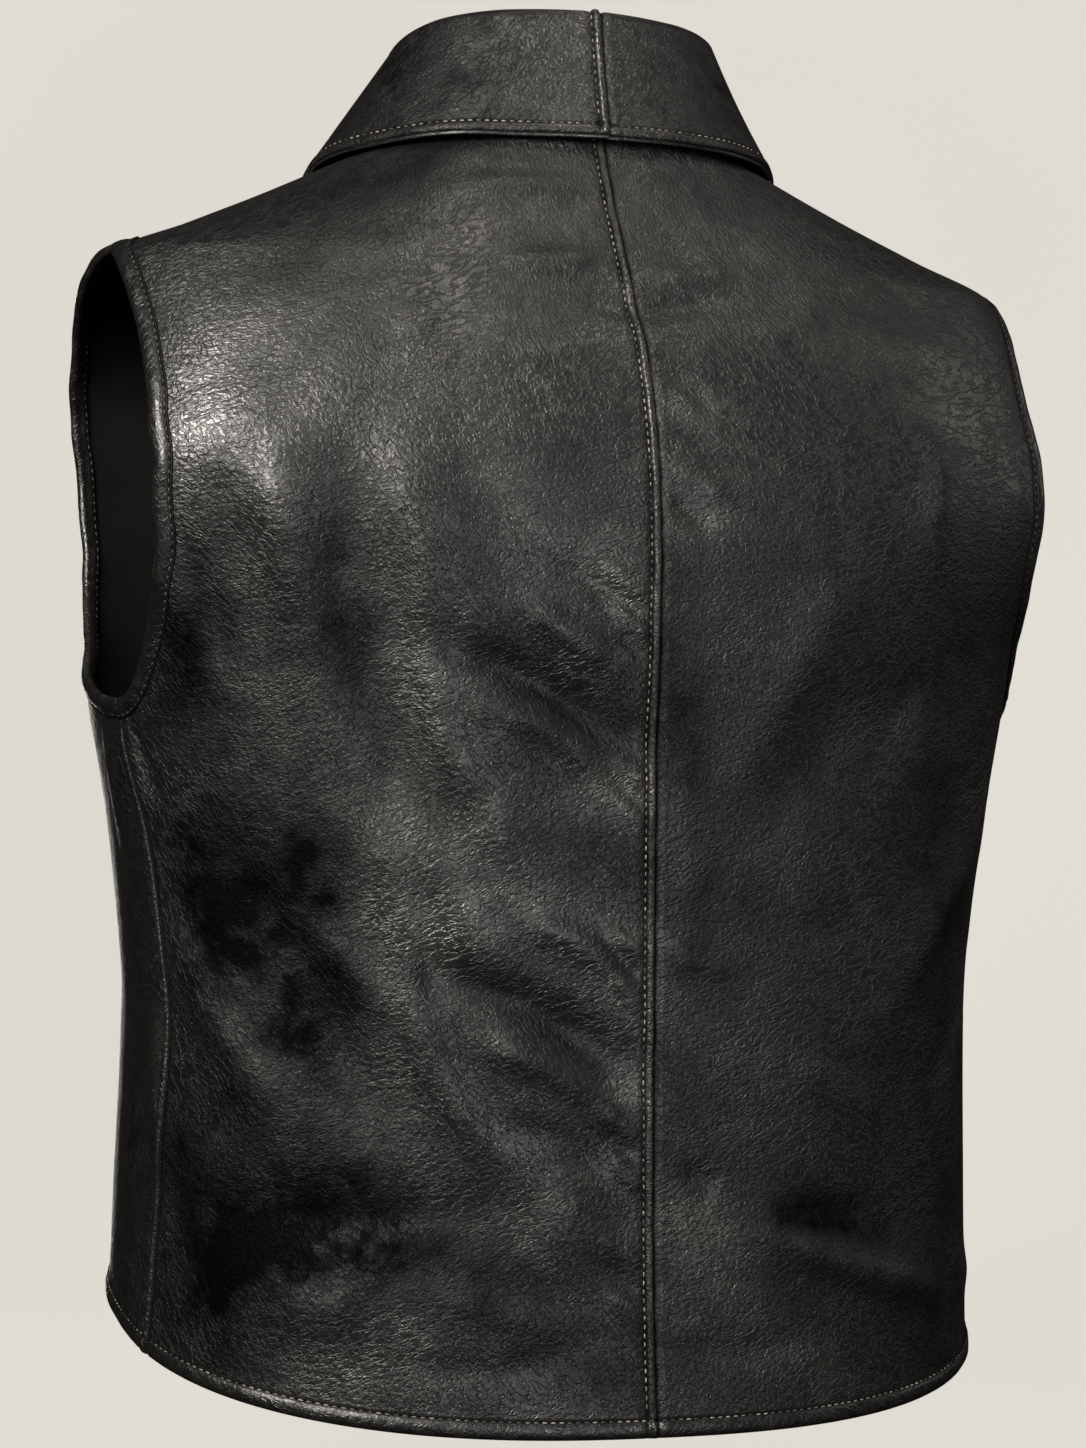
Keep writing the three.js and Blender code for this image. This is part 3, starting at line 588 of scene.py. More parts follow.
@dataclass
class BodyForm:
    """The surface that every piece of leather follows, on a general figure."""

    armhole_z: float = -162.0
    armhole_half_height: float = 96.0
    neck_middle: float = -20.0
    neck_half: float = 72.0
    neck_front: float = 70.0
    neck_square: float = 2.3
    hem_back: float = -566.5
    hem_front_rise: float = 51.0
    hem_left_rise: float = 6.0
    fold_depth: float = 1.7
    pucker_depth: float = 1.9
    girth_level: float = -330.0
    section: Reader = field(default_factory=lambda: Reader(SECTIONS, "z"))
    seam: Reader = field(default_factory=lambda: Reader(SIDE_SEAM, "z"))
    armhole: Reader = field(default_factory=lambda: Reader(ARMHOLE_EDGE, "turn"))

    def __post_init__(self) -> None:
        """Measures the girth round one side, from the centre back to the centre front."""
        self.girth_angles = np.linspace(0, math.pi, 361)
        ring = self.point(self.girth_angles, np.full(361, self.girth_level))
        self.girths = np.concatenate([[0], np.cumsum(np.linalg.norm(np.diff(ring, axis=0), axis=1))])

    def radius(self, section: dict[str, Array], angle: Array) -> Array:
        """Distance from a section's middle to its outline, in the direction of an angle."""
        backward = np.cos(angle) > 0
        depth = np.where(backward, section["back"] - section["middle"], section["middle"] - section["front"])
        square = np.where(backward, BACK_SQUARE, section["square"])
        across = np.abs(np.sin(angle) / section["half"]) ** square
        along = np.abs(np.cos(angle) / depth) ** square
        return (across + along) ** (-1 / square)

    def point(self, angle: Array, z: Array) -> Array:
        """Points of the surface."""
        section = self.section(z)
        reach = self.radius(section, angle)
        return np.stack([reach * np.sin(angle), section["middle"] + reach * np.cos(angle), z + 0 * reach], -1)

    def normal(self, angle: Array, z: Array) -> Array:
        """Outward directions of the surface."""
        at = np.clip(z, SECTIONS[0].z + 0.5, -0.5)
        around = self.point(angle + 0.004, at) - self.point(angle - 0.004, at)
        up = self.point(angle, at + 0.5) - self.point(angle, at - 0.5)
        return unit(np.cross(up, around))

    def girth_of(self, angle: Array) -> Array:
        """Girth at the chest from the centre back to an angle, positive to the wearer's left."""
        return np.sign(angle) * np.interp(np.abs(angle), self.girth_angles, self.girths)

    def angle_of_girth(self, girth: Array) -> Array:
        """The angle at which a girth is reached."""
        return np.sign(girth) * np.interp(np.abs(girth), self.girths, self.girth_angles)

    def relief(self, place: Place) -> Array:
        """Height of all the creases and folds at places on the leather."""
        girth, z = self.girth_of(place.angle), place.z
        out = np.zeros(np.broadcast(girth, z).shape)
        for crease in MAIN_CREASES:
            out += crease.lift(girth, z)
        for fold in FINE_FOLDS:
            out += fold.lift(girth, z) * (self.fold_depth if fold.width > 3.5 else self.pucker_depth)
        return out

    def cloth(self, place: Place, lift: Any, relief: Any = None) -> Array:
        """Points of the leather, moved out from the surface by its folds and a lift.

        Args:
            place: Where on the body.
            lift: How far out from the creased surface, in mm.
            relief: The folds' height there, where it is known already.

        Returns:
            The points, in mm.
        """
        out = (self.relief(place) if relief is None else relief) + lift
        return self.point(place.angle, place.z) + self.normal(place.angle, place.z) * np.asarray(out)[..., None]

    def hem_height(self, angle: Array) -> Array:
        """Height of the finished hem, a tilted plane through the lowest section."""
        low = self.section(SECTIONS[0].z)
        reach = self.radius(low, angle)
        forward = (low["back"] - low["middle"] - reach * np.cos(angle)) / (low["back"] - low["front"])
        return self.hem_back + self.hem_front_rise * forward + self.hem_left_rise * reach * np.sin(angle) / low["half"]

    def angle_at_depth(self, side: int, y: Array, z: Array) -> Array:
        """The angle at which the surface has a given y at a height, on one side."""
        section = self.section(z)
        backward = y > section["middle"]
        depth = np.where(backward, section["back"] - section["middle"], section["middle"] - section["front"])
        square = np.where(backward, BACK_SQUARE, section["square"])
        share = 1 - np.minimum(0.999, np.abs(y - section["middle"]) / depth) ** square
        return side * np.arctan2(section["half"] * share ** (1 / square), y - section["middle"])

    def armhole_edge(self, side: int, turn: Array) -> Place:
        """The finished armhole edge. Turns run 0 to 180 down the back of the arm and 180 to 360 up its front."""
        turn = np.mod(turn, 360)
        folded = np.minimum(turn, 360 - turn)
        spot = self.armhole(folded)
        y = np.where(turn <= 180, spot["back"], spot["front"])
        z = self.armhole_z + self.armhole_half_height * np.cos(np.radians(folded))
        return Place(self.angle_at_depth(side, y, z), z)

    def armhole_place(self, side: int, turn: Array, distance: Any) -> Place:
        """Places a distance into the leather from the armhole edge, measured along the surface."""
        turn = np.asarray(turn, float)
        here, after, before = (self.armhole_edge(side, turn + step) for step in (0, 1, -1))
        start = self.point(here.angle, here.z)
        along = self.point(after.angle, after.z) - self.point(before.angle, before.z)
        into = unit(np.cross(self.normal(here.angle, here.z), along))
        middle = np.stack([start[..., 0], 0 * here.z, 0 * here.z + self.armhole_z], -1)
        into *= np.where((into * (start - middle)).sum(-1) < 0, -1, 1)[..., None]
        start = start + into * np.asarray(distance, float)[..., None]
        return Place(np.arctan2(start[..., 0], start[..., 1] - self.section(start[..., 2])["middle"]), start[..., 2])

    def neck_place(self, turn: Array) -> Place:
        """Places on the neck edge of the wearer's left, by turn in degrees from the centre back."""
        turn = np.asarray(turn, float)
        rad = np.radians(turn)
        oval = {"half": self.neck_half, "middle": self.neck_middle, "square": self.neck_square}
        oval |= {"back": SECTIONS[-1].back, "front": self.neck_middle - self.neck_front}
        reach = self.radius(oval, rad)
        x, y = reach * np.sin(rad), self.neck_middle + reach * np.cos(rad)
        low, high = np.full(turn.shape, -140.0), np.zeros(turn.shape)
        for _ in range(32):
            z = (low + high) / 2
            section = self.section(z)
            ahead = y - section["middle"]
            inside = self.radius(section, np.arctan2(x, ahead)) < np.hypot(x, ahead)
            high, low = np.where(inside, z, high), np.where(inside, low, z)
        angle = np.mod(np.arctan2(x, y - self.section(low)["middle"]), 2 * math.pi)
        back = turn <= 90
        return Place(np.where(back, rad, angle), np.where(back, 0.0, low))


BODY = BodyForm()


# ---- meshes ----


@dataclass
class Shell:
    """Points, four-sided faces, their finish numbers and shade values of one piece being built."""

    points: list[Array] = field(default_factory=list)
    faces: list[Array] = field(default_factory=list)
    finishes: list[Array] = field(default_factory=list)
    shades: list[Array] = field(default_factory=list)
    grains: list[Array] = field(default_factory=list)
    wears: list[Array] = field(default_factory=list)
    count: int = 0

    def add_points(self, points: Array, shade: Any = 0.0, grain: Array | None = None, wear: Any = 0.0) -> Array:
        """Adds points with no faces.

        Args:
            points: Points by row, column and axis, in mm.
            shade: Painted shadow of seams and grooves below 0, painted highlight and edge wear on rims above 0, for
                each point.
            grain: Where each point lies on the flat leather, in mm, if not at its place in space.
            wear: Painted highlight and glossier leather above 0, painted shade and duller leather below 0, for each
                point.

        Returns:
            The index of each point in the piece.
        """
        shape = points.shape[:-1]
        index = self.count + np.arange(math.prod(shape)).reshape(shape)
        self.points.append(points.reshape(-1, 3))
        self.grains.append((points if grain is None else grain).reshape(-1, 3))
        self.shades.append(np.broadcast_to(shade, shape).reshape(-1))
        self.wears.append(np.broadcast_to(wear, shape).reshape(-1))
        self.count += index.size
        return index

    def add_grid(
        self,
        grid: Array,
        finish: int = 0,
        shade: Any = 0.0,
        ring: bool = False,
        grain: Array | None = None,
        wear: Any = 0.0,
    ) -> Array:
        """Adds a grid of points with faces between neighbours.

        Args:
            grid: Points by row, column and axis, in mm.
            finish: Which of the piece's materials the faces take.
            shade: Painted shadow of seams and grooves below 0, painted highlight and edge wear on rims above 0, for
                each point.
            ring: Whether the last row joins the first.
            grain: Where each point lies on the flat leather, in mm, if not at its place in space.
            wear: Painted highlight and glossier leather above 0, painted shade and duller leather below 0, for each
                point.

        Returns:
            The index of each point in the piece.
        """
        index = self.add_points(grid, shade, grain, wear)
        low = np.vstack([index, index[:1]]) if ring else index
        self.join(low[:-1], low[1:], finish)
        return index

    def join(self, one: Array, other: Array, finish: int = 0) -> None:
        """Adds faces between matching rows of point indices."""
        one, other = np.atleast_2d(one), np.atleast_2d(other)
        quads = np.stack([one[:, :-1], one[:, 1:], other[:, 1:], other[:, :-1]], -1).reshape(-1, 4)
        self.faces.append(quads)
        self.finishes.append(np.full(len(quads), finish))

    def fan(self, loop: Array, middle: Array, flip: bool = False) -> None:
        """Closes a ring of an even number of points with faces round a new middle point.

        Args:
            loop: The ring's point indices.
            middle: The new point, in mm.
            flip: Whether the faces look the other way.
        """
        centre = int(self.add_points(middle[None])[0])
        quads = np.stack([loop, np.roll(loop, -1), np.roll(loop, -2), np.full(len(loop), centre)], -1)[::2]
        self.faces.append(quads[:, ::-1] if flip else quads)
        self.finishes.append(np.zeros(len(quads), int))

    def build(self, name: str, materials: Sequence[bpy.types.Material]) -> bpy.types.Object:
        """Makes the Blender object, with its faces turned outward and shaded smooth.

        Args:
            name: The object's name.
            materials: The finishes, in the order of their numbers.

        Returns:
            The linked object, in metres.
        """
        points = np.concatenate(self.points)
        faces = np.concatenate(self.faces)
        a, b, c, d = (points[faces[:, i]] for i in range(4))
        volume = (a * np.cross(b, c)).sum() + (a * np.cross(c, d)).sum()
        if volume < 0:
            faces = faces[:, ::-1]
        mesh = bpy.data.meshes.new(name)
        mesh.vertices.add(len(points))
        mesh.vertices.foreach_set("co", (points * MM).astype(np.float32).ravel())
        mesh.loops.add(faces.size)
        mesh.loops.foreach_set("vertex_index", faces.astype(np.int32).ravel())
        mesh.polygons.add(len(faces))
        mesh.polygons.foreach_set("loop_start", np.arange(0, faces.size, 4, dtype=np.int32))
        mesh.polygons.foreach_set("material_index", np.concatenate(self.finishes).astype(np.int32))
        mesh.update(calc_edges=True)
        mesh.polygons.foreach_set("use_smooth", np.ones(len(faces), bool))
        # Point layers: painted seam shadow and rim highlight, painted patch highlight and shade, and the grain
        layers = (
            ("shade", "FLOAT", "value", self.shades, 1.0),
            ("wear", "FLOAT", "value", self.wears, 1.0),
            ("grain", "FLOAT_VECTOR", "vector", self.grains, MM),
        )
        for key, kind, column, values, scale in layers:
            layer = mesh.attributes.new(key, kind, "POINT")
            layer.data.foreach_set(column, (np.concatenate(values) * scale).astype(np.float32).ravel())
        for material in materials:
            mesh.materials.append(material)
        mesh.validate()
        made = bpy.data.objects.new(name, mesh)
        bpy.context.scene.collection.objects.link(made)
        return made


def finish_piece(made: bpy.types.Object, slot: str, *nodes: str) -> bpy.types.Object:
    """Puts a piece in the frame.

    Args:
        made: The piece.
        slot: Not used.
        nodes: The CAD nodes that it stands for.

    Returns:
        The same piece.
    """
    if nodes:
        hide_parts(*nodes)
    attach(made, "root")
    log.info("%s: %d faces", made.name, len(made.data.polygons))
    return made


@dataclass(frozen=True)
class Thread:
    """A lockstitch in heavy thread: each stitch is a short rounded bar that dips in at its ends."""

    pitch: float = 3.7
    length: float = 2.2
    width: float = 0.66
    rise: float = 0.42

    def stitches(self, shell: Shell, path: Array, normals: Array) -> int:
        """Adds the stitches along a path.

        Args:
            shell: The piece to add to.
            path: Points of the stitch line, one a row, in mm.
            normals: Outward directions at those points.

        Returns:
            How many stitches were added.
        """
        run = np.concatenate([[0], np.cumsum(np.linalg.norm(np.diff(path, axis=0), axis=1))])
        count = int((run[-1] - self.length) // self.pitch)
        starts = np.arange(count) * self.pitch + (run[-1] - count * self.pitch) / 2
        steps = np.array([0, 0.12, 0.35, 0.65, 0.88, 1.0])
        swell = np.array([0.25, 0.75, 1.0, 1.0, 0.75, 0.25])
        height = np.array([-0.45, 0.0, 0.3, 0.3, 0.0, -0.45]) * self.rise
        at = starts[:, None] + steps * self.length
        centre = np.stack([np.interp(at, run, path[:, i]) for i in range(3)], -1)
        normal = unit(np.stack([np.interp(at, run, normals[:, i]) for i in range(3)], -1))
        along = unit(np.gradient(centre, axis=1))
        across = unit(np.cross(along, normal))
        centre = centre + normal * height[None, :, None]
        round_it = np.linspace(0, 2 * math.pi, 7)[:-1]
        for stitch in range(count):
            wide = (across[stitch] * (swell * self.width / 2)[:, None])[:, None] * np.cos(round_it)[None, :, None]
            tall = (normal[stitch] * (swell * self.rise * 0.6)[:, None])[:, None] * np.sin(round_it)[None, :, None]
            ring = centre[stitch][:, None] + wide + tall
            index = shell.add_grid(ring.transpose(1, 0, 2), ring=True)
            for end in (0, -1):
                a, b, c, d, e, f = index[:, end]
                quads = [[a, b, c, d], [a, d, e, f]] if end else [[d, c, b, a], [f, e, d, a]]
                shell.faces.append(np.array(quads))
                shell.finishes.append(np.zeros(2, int))
        return count


# ---- sewn pieces ----


@dataclass(frozen=True)
class ProfileSpot:
    """One spot of a pressed profile: distance from an edge, height of the leather, and its shade: painted shadow below
    0, painted highlight and edge wear above 0.
    """

    distance: float
    lift: float
    shade: float


def read_profile(profile: Sequence[ProfileSpot], distance: Array) -> tuple[Array, Array]:
    """Height and shade of a profile at distances from its edge."""
    keys = [spot.distance for spot in profile]
    lift = np.interp(distance, keys, [spot.lift for spot in profile])
    return lift, np.interp(distance, keys, [spot.shade for spot in profile])


# A lapped seam: the upper panel's folded edge, a rounded ridge, then the stitched groove; painted highlight on the
# ridge, painted shade in the groove
LAPPED_EDGE = (
    ProfileSpot(0.15, 0.25, -0.5),
    ProfileSpot(0.5, 0.75, 0.3),
    ProfileSpot(1.1, 1.0, 0.8),
    ProfileSpot(1.9, 1.02, 0.7),
    ProfileSpot(2.6, 0.85, 0.1),
    ProfileSpot(3.1, 0.4, -0.6),
    ProfileSpot(3.6, -0.25, -1.0),
    ProfileSpot(4.1, -0.5, -1.0),
    ProfileSpot(4.7, -0.35, -0.7),
    ProfileSpot(5.6, -0.1, -0.25),
    ProfileSpot(7.5, 0.08, 0.0),
    ProfileSpot(10, 0.0, 0.0),
)
# The lower panel beside it, pressed down where it passes under, with painted shade there
PRESSED_EDGE = (
    ProfileSpot(0.15, -0.8, -1.0),
    ProfileSpot(0.8, -0.65, -1.0),
    ProfileSpot(1.5, -0.35, -0.6),
    ProfileSpot(2.6, -0.05, -0.2),
    ProfileSpot(4.2, 0.1, 0.05),
    ProfileSpot(7.5, 0.0, 0.0),
)
# A turned and topstitched free edge, with painted highlight and edge wear on the fold and painted shade in the stitch
# groove
TURNED_EDGE = (
    ProfileSpot(0.0, -0.6, 0.6),
    ProfileSpot(0.4, -0.1, 0.8),
    ProfileSpot(1.0, 0.2, 0.5),
    ProfileSpot(2.2, 0.4, 0.25),
    ProfileSpot(3.3, 0.3, 0.0),
    ProfileSpot(4.0, -0.05, -0.6),
    ProfileSpot(4.7, -0.5, -1.0),
    ProfileSpot(5.5, -0.2, -0.5),
    ProfileSpot(6.8, 0.05, 0.0),
    ProfileSpot(9, 0.0, 0.0),
)
COLLAR_EDGE_STEPS = (0, 0.25, 0.6, 1.0, 1.5, 2.1, 2.7, 3.3, 3.7, 4.1, 4.5, 4.9, 5.4, 6.1, 7, 8.4, 10, 12)
STITCH_LINE = 4.3
FRONT_STITCH_LINE = 4.7
# Any distance past the end of every profile
FAR_IN = 60.0
# The cut of each panel: width and length, in mm
PANEL_CUT = {Half.BACK: (272.0, 572.0), Half.FRONT: (312.0, 520.0)}
EDGE_STEPS = (0.15, 0.5, 0.8, 1.1, 1.5, 1.9, 2.3, 2.6, 2.9, 3.2, 3.6, 3.9, 4.2, 4.5, 4.9, 5.6, 6.5, 7.8, 9.4, 11.5)


@dataclass
class Panel:
    """A back or front panel from hem to shoulder, with its edges under the bindings."""

    side: Side
    half: Half
    leather: float = 1.4
    hem_edge: float = 1.4
    armhole_inset: float = 2.7
    lap_past: float = 15.0
    lap_under: float = 5.1
    lap_step: float = 18.0
    spacing: float = 3.0
    side_rows: int = 104
    armhole_rows: int = 110
    shoulder_rows: int = 30
    front_yoke: float = -128.0

    def __post_init__(self) -> None:
        """Lays out the columns: at set distances from each edge, and evenly between."""
        back = self.half is Half.BACK
        self.lap_end = 2 * self.lap_past + 1 + self.lap_step
        lap_steps = np.arange(10, self.lap_end + 1, 3.0)
        inner = EDGE_STEPS if back else tuple(np.concatenate([[0.02], EDGE_STEPS[1:-2], lap_steps]))
        outer = EDGE_STEPS[::-1]
        count = int((300 if back else 200) / self.spacing)
        share = np.linspace(0, 1, count)
        self.kind = np.concatenate([np.zeros(len(inner)), np.ones(count), np.full(len(outer), 2)])
        self.value = np.concatenate([inner, 1 - (1 - share) ** 1.1, outer])
        self.margins = (inner[-1] + 2.5, outer[0] + 2.5)
        sign = self.side.value
        self.bottom = float(BODY.armhole_place(sign, np.array(180.0), self.armhole_inset).z)
        self.top = float(BODY.armhole_place(sign, np.array(0.0), self.armhole_inset).z)

    def column_angles(self, inner: Any, outer: Any, z: Any) -> Array:
        """Angles of all the columns between the panel's inner and outer edges at given heights."""
        section = BODY.section(z)
        way = np.sign(outer - inner)

        def step(angle: Any, length: Any) -> Array:
            return way * length / BODY.radius(section, angle)

        near = inner + step(inner, self.value)
        far = outer - step(outer, self.value)
        first = BODY.girth_of(inner + step(inner, self.margins[0]))
        last = BODY.girth_of(outer - step(outer, self.margins[1]))
        shared = BODY.angle_of_girth(blend_between(first, last, self.value))
        return np.select([self.kind == 0, self.kind == 1], [near, shared], far)

    def inner_angle(self, z: Any) -> Any:
        """The angle of the panel's inner edge: the centre back, or the front edge past the centre front."""
        if self.half is Half.BACK:
            return 0.0 * np.asarray(z)
        section = BODY.section(z)
        return self.side.value * (math.pi + np.arcsin(self.lap_past / (section["middle"] - section["front"])))

    def slanted_row(self, outer_angle: float, outer_z: float, inner_z: float) -> tuple[Array, Array, Array]:
        """A row from a place on the outer edge to a height at the inner edge, as angles, heights and shares."""
        start = self.inner_angle(outer_z)
        first = self.column_angles(start, outer_angle, outer_z)
        share = (first - outer_angle) / (start - outer_angle)
        z = blend_between(outer_z, inner_z, smooth_step(share))
        return self.column_angles(self.inner_angle(z), outer_angle, z), z, share

    def places(self) -> Place:
        """Places of the whole grid, in rows from the hem up and columns from the centre out."""
        sign = self.side.value
        angles, heights = [], []
        low = BODY.hem_height(sign * math.radians(79)) + self.hem_edge
        for share in np.linspace(0, 1, self.side_rows):
            guess = blend_between(low, self.bottom, share)
            outer = sign * math.radians(float(BODY.seam(guess)["angle"]))
            row = self.column_angles(self.inner_angle(guess), outer, guess)
            angles.append(row)
            heights.append(blend_between(BODY.hem_height(row) + self.hem_edge, self.bottom, share))
        for turn in np.linspace(180, 0, self.armhole_rows, endpoint=False)[1:]:
            at = BODY.armhole_place(sign, np.array(turn if self.half is Half.BACK else 360 - turn), self.armhole_inset)
            z = float(at.z)
            risen = (z - self.bottom) / (self.top - self.bottom)
            inner = z if self.half is Half.BACK else blend_between(self.bottom, self.front_yoke, risen)
            row, high, _ = self.slanted_row(float(at.angle), z, inner)
            angles.append(row)
            heights.append(high)
        for share in np.linspace(0, 1, self.shoulder_rows) ** 1.15:
            row, high = self.shoulder_row(share)
            angles.append(row)
            heights.append(high)
        return Place(np.array(angles), np.array(heights))

    def shoulder_row(self, share: float) -> tuple[Array, Array]:
        """A row between the shoulder tip and the neck."""
        shoulder = self.side.value * math.pi / 2
        if self.half is Half.BACK:
            z = blend_between(self.top, 0.0, share)
            row, high, _ = self.slanted_row(shoulder, z, z)
            return row, high
        low, low_z, at = self.slanted_row(shoulder, self.top, self.front_yoke)
        past = self.lap_past - np.where(self.kind == 0, self.value, 0)
        turn_of = 180 + np.degrees(np.arcsin(past / BODY.neck_front))
        last = np.flatnonzero(self.kind == 0)[-1]
        turn = np.where(self.kind == 0, turn_of, blend_between(90, turn_of[last], at / at[last]))
        neck = BODY.neck_place(turn)
        return blend_between(low, self.side.value * neck.angle, share), blend_between(low_z, neck.z, share)

    def under_lift(self, place: Place) -> Array:
        """How far the right front is sunk near the centre front, where it passes under the left one."""
        if self.side is Side.LEFT or self.half is Half.BACK:
            return 0 * place.z
        distance = -BODY.point(place.angle, place.z)[..., 0]
        return -self.lap_under * (1 - smooth_step((distance - self.lap_past - 1) / self.lap_step))

    def edge_profile(self, place: Place) -> tuple[Array, Array]:
        """Lift and shade of the pressed seams and turned edges, for each point of the grid."""
        inner_distance = np.where(self.kind == 0, self.value, FAR_IN)
        outer_distance = np.where(self.kind == 2, self.value, FAR_IN)
        if self.half is Half.BACK:
            inner = read_profile(LAPPED_EDGE if self.side is Side.LEFT else PRESSED_EDGE, inner_distance)
            outer = read_profile(PRESSED_EDGE, outer_distance)
        else:
            inner = read_profile(TURNED_EDGE, inner_distance)
            outer = read_profile(LAPPED_EDGE, outer_distance)
        fade = smooth_step((self.bottom - 7 - place.z) / 9)
        wave = 1 + 0.1 * np.sin(place.z / 2.9) + 0.08 * np.sin(place.z / 5.3 + 1.0)
        lift = inner[0] * wave + outer[0] * fade
        return lift, inner[1] * wave + outer[1] * fade

    def make(self, finishes: Sequence[bpy.types.Material]) -> bpy.types.Object:
        """Builds the panel.

        Args:
            finishes: Grain side and flesh side of the leather.

        Returns:
            The panel's object.
        """
        place = self.places()
        self.relief = BODY.relief(place) + self.under_lift(place)
        self.place = place
        lift, shade = self.edge_profile(place)
        self.lift = lift
        outer = BODY.cloth(place, lift, self.relief)
        inner = BODY.cloth(place, -self.leather + np.minimum(lift, 0) * 0.4, self.relief)
        shell = Shell()
        hide = 90.0 * self.side.value * (1 if self.half is Half.BACK else 2)
        grain = np.stack([BODY.girth_of(place.angle), place.z, 0 * place.z + hide], -1)
        # Painted highlights and painted shade of the patches, with their gloss
        wear = sum(patch.wear(grain[..., 0], grain[..., 1]) for patch in PAINTED_LIGHT_PATCHES)
        add_wall(shell, outer, inner, (0, 1), shade, grain=grain, wear=wear)
        name = f"{self.half.value}_{self.side.word}"
        made = shell.build(f"leather_{name}", finishes)
        return finish_piece(made, "leather", name)

    def line(self, column_value: float, inner: bool, low: int = 3, high: int = -1) -> tuple[Array, Array]:
        """Points and normals of a stitch line at a distance from the panel's inner or outer edge."""
        kind = 0 if inner else 2
        gaps = np.where(self.kind == kind, np.abs(self.value - column_value), 1e9)
        c = int(gaps.argmin())
        place = Place(self.place.angle[low:high, c], self.place.z[low:high, c])
        lift = self.relief[low:high, c] + self.lift[low:high, c] + 0.05
        return BODY.cloth(place, 0.0, lift), BODY.normal(place.angle, place.z)


def add_wall(
    shell: Shell,
    outer: Array,
    inner: Array,
    finishes: tuple[int, int],
    shade: Any,
    ring: bool = False,
    grain: Array | None = None,
    wear: Any = 0.0,
) -> None:
    """Adds a closed wall between two matching grids of points.

    Args:
        shell: The piece to add to.
        outer: Outer points by row and column.
        inner: Inner points by row and column.
        finishes: Finish numbers of the outer and the inner face.
        shade: Shade of the outer points.
        ring: Whether the last row joins the first.
        grain: Where each outer point lies on the flat leather, in mm.
        wear: Painted highlight and glossier leather above 0, painted shade and duller leather below 0, for each outer
            point.
    """
    a = shell.add_grid(outer, finishes[0], shade, ring, grain, wear)
    # The inner points take a shade of -0.3: painted shade on the inner faces, where their finish reads it
    b = shell.add_points(inner, -0.3)
    if ring:
        a, b = np.vstack([a, a[:1]]), np.vstack([b, b[:1]])
    shell.join(b[1:], b[:-1], finishes[1])
    shell.join(a[:, 0], b[:, 0], finishes[0])
    shell.join(b[:, -1], a[:, -1], finishes[0])
    if not ring:
        shell.join(b[0], a[0], finishes[0])
        shell.join(a[-1], b[-1], finishes[0])


@dataclass(frozen=True)
class BandSpot:
    """One spot of a binding's section: distance in from the finished edge, height over the panel, and shade: painted
    shadow below 0, painted highlight and wear above 0.
    """

    inset: float
    lift: float
    shade: float


HEM_SECTION = (
    BandSpot(8.9, 0.15, -1.0),
    BandSpot(8.85, 0.5, -1.0),
    BandSpot(8.5, 0.78, -0.8),
    BandSpot(8.0, 0.7, -1.0),
    BandSpot(7.5, 0.5, -1.0),
    BandSpot(7.0, 0.75, -0.7),
    BandSpot(6.4, 1.15, 0.0),
    BandSpot(5.4, 1.5, 0.2),
    BandSpot(4.0, 1.65, 0.35),
    BandSpot(2.6, 1.55, 0.4),
    BandSpot(1.5, 1.2, 0.45),
    BandSpot(0.6, 0.55, 0.5),
    BandSpot(0.15, -0.3, 0.3),
    BandSpot(0.15, -1.1, 0.0),
    BandSpot(0.6, -1.9, 0.0),
    BandSpot(1.6, -2.4, 0.0),
    BandSpot(4.0, -2.6, 0.0),
    BandSpot(7.4, -2.4, -0.5),
    BandSpot(8.4, -2.45, 0.0),
    BandSpot(8.9, -1.9, 0.0),
)
ARMHOLE_SECTION = (
    BandSpot(9.3, 0.1, -1.0),
    BandSpot(9.25, 0.5, -1.0),
    BandSpot(8.9, 0.85, -0.8),
    BandSpot(8.4, 0.8, -1.0),
    BandSpot(7.9, 0.55, -1.0),
    BandSpot(7.3, 0.9, -0.7),
    BandSpot(6.6, 1.4, 0.0),
    BandSpot(5.4, 1.85, 0.15),
    BandSpot(3.8, 1.95, 0.2),
    BandSpot(2.4, 1.7, 0.3),
    BandSpot(1.3, 1.15, 0.4),
    BandSpot(0.6, 0.45, 0.8),
    BandSpot(0.35, -0.3, 1.0),
    BandSpot(0.4, -1.1, 0.9),
    BandSpot(0.7, -1.8, 0.4),
    BandSpot(1.4, -2.5, 0.1),
    BandSpot(2.6, -2.9, 0.0),
    BandSpot(5.0, -3.0, 0.0),
    BandSpot(7.0, -2.8, -0.4),
    BandSpot(7.9, -2.45, -1.0),
    BandSpot(8.6, -2.7, -0.4),
    BandSpot(9.3, -1.9, 0.0),
)


def section_columns(section: Sequence[BandSpot]) -> tuple[Array, Array, Array, Array]:
    """Insets, lifts and shades of a section's spots, and how far round the section each one lies."""
    inset, lift, shade = np.array([(spot.inset, spot.lift, spot.shade) for spot in section]).T
    across = np.cumsum(np.hypot(np.diff(inset, prepend=inset[0]), np.diff(lift, prepend=lift[0])))
    return inset, lift, shade, across


def band_cavity(section: Sequence[BandSpot], edge: float, leather: float, gap: float) -> tuple[Array, Array]:
    """The inner face of a folded binding, with as many spots as its outer face.

    Args:
        section: The outer face's spots.
        edge: Inset of the panel's cut edge.
        leather: Thickness of the panel.
        gap: Room left between the panel and the binding.

    Returns:
        Insets and lifts of the spots.
    """
    deep = section[0].inset
    inset = np.array([deep, edge, edge - 0.8, edge - 0.8, edge, deep])
    lift = np.array([gap * 0.3, gap, -leather * 0.3, -leather * 0.7, -leather - gap, -leather - gap])
    share = np.linspace(0, 1, len(section))
    keys = np.array([0, 0.42, 0.5, 0.56, 0.62, 1.0])
    return np.interp(share, keys, inset), np.interp(share, keys, lift)


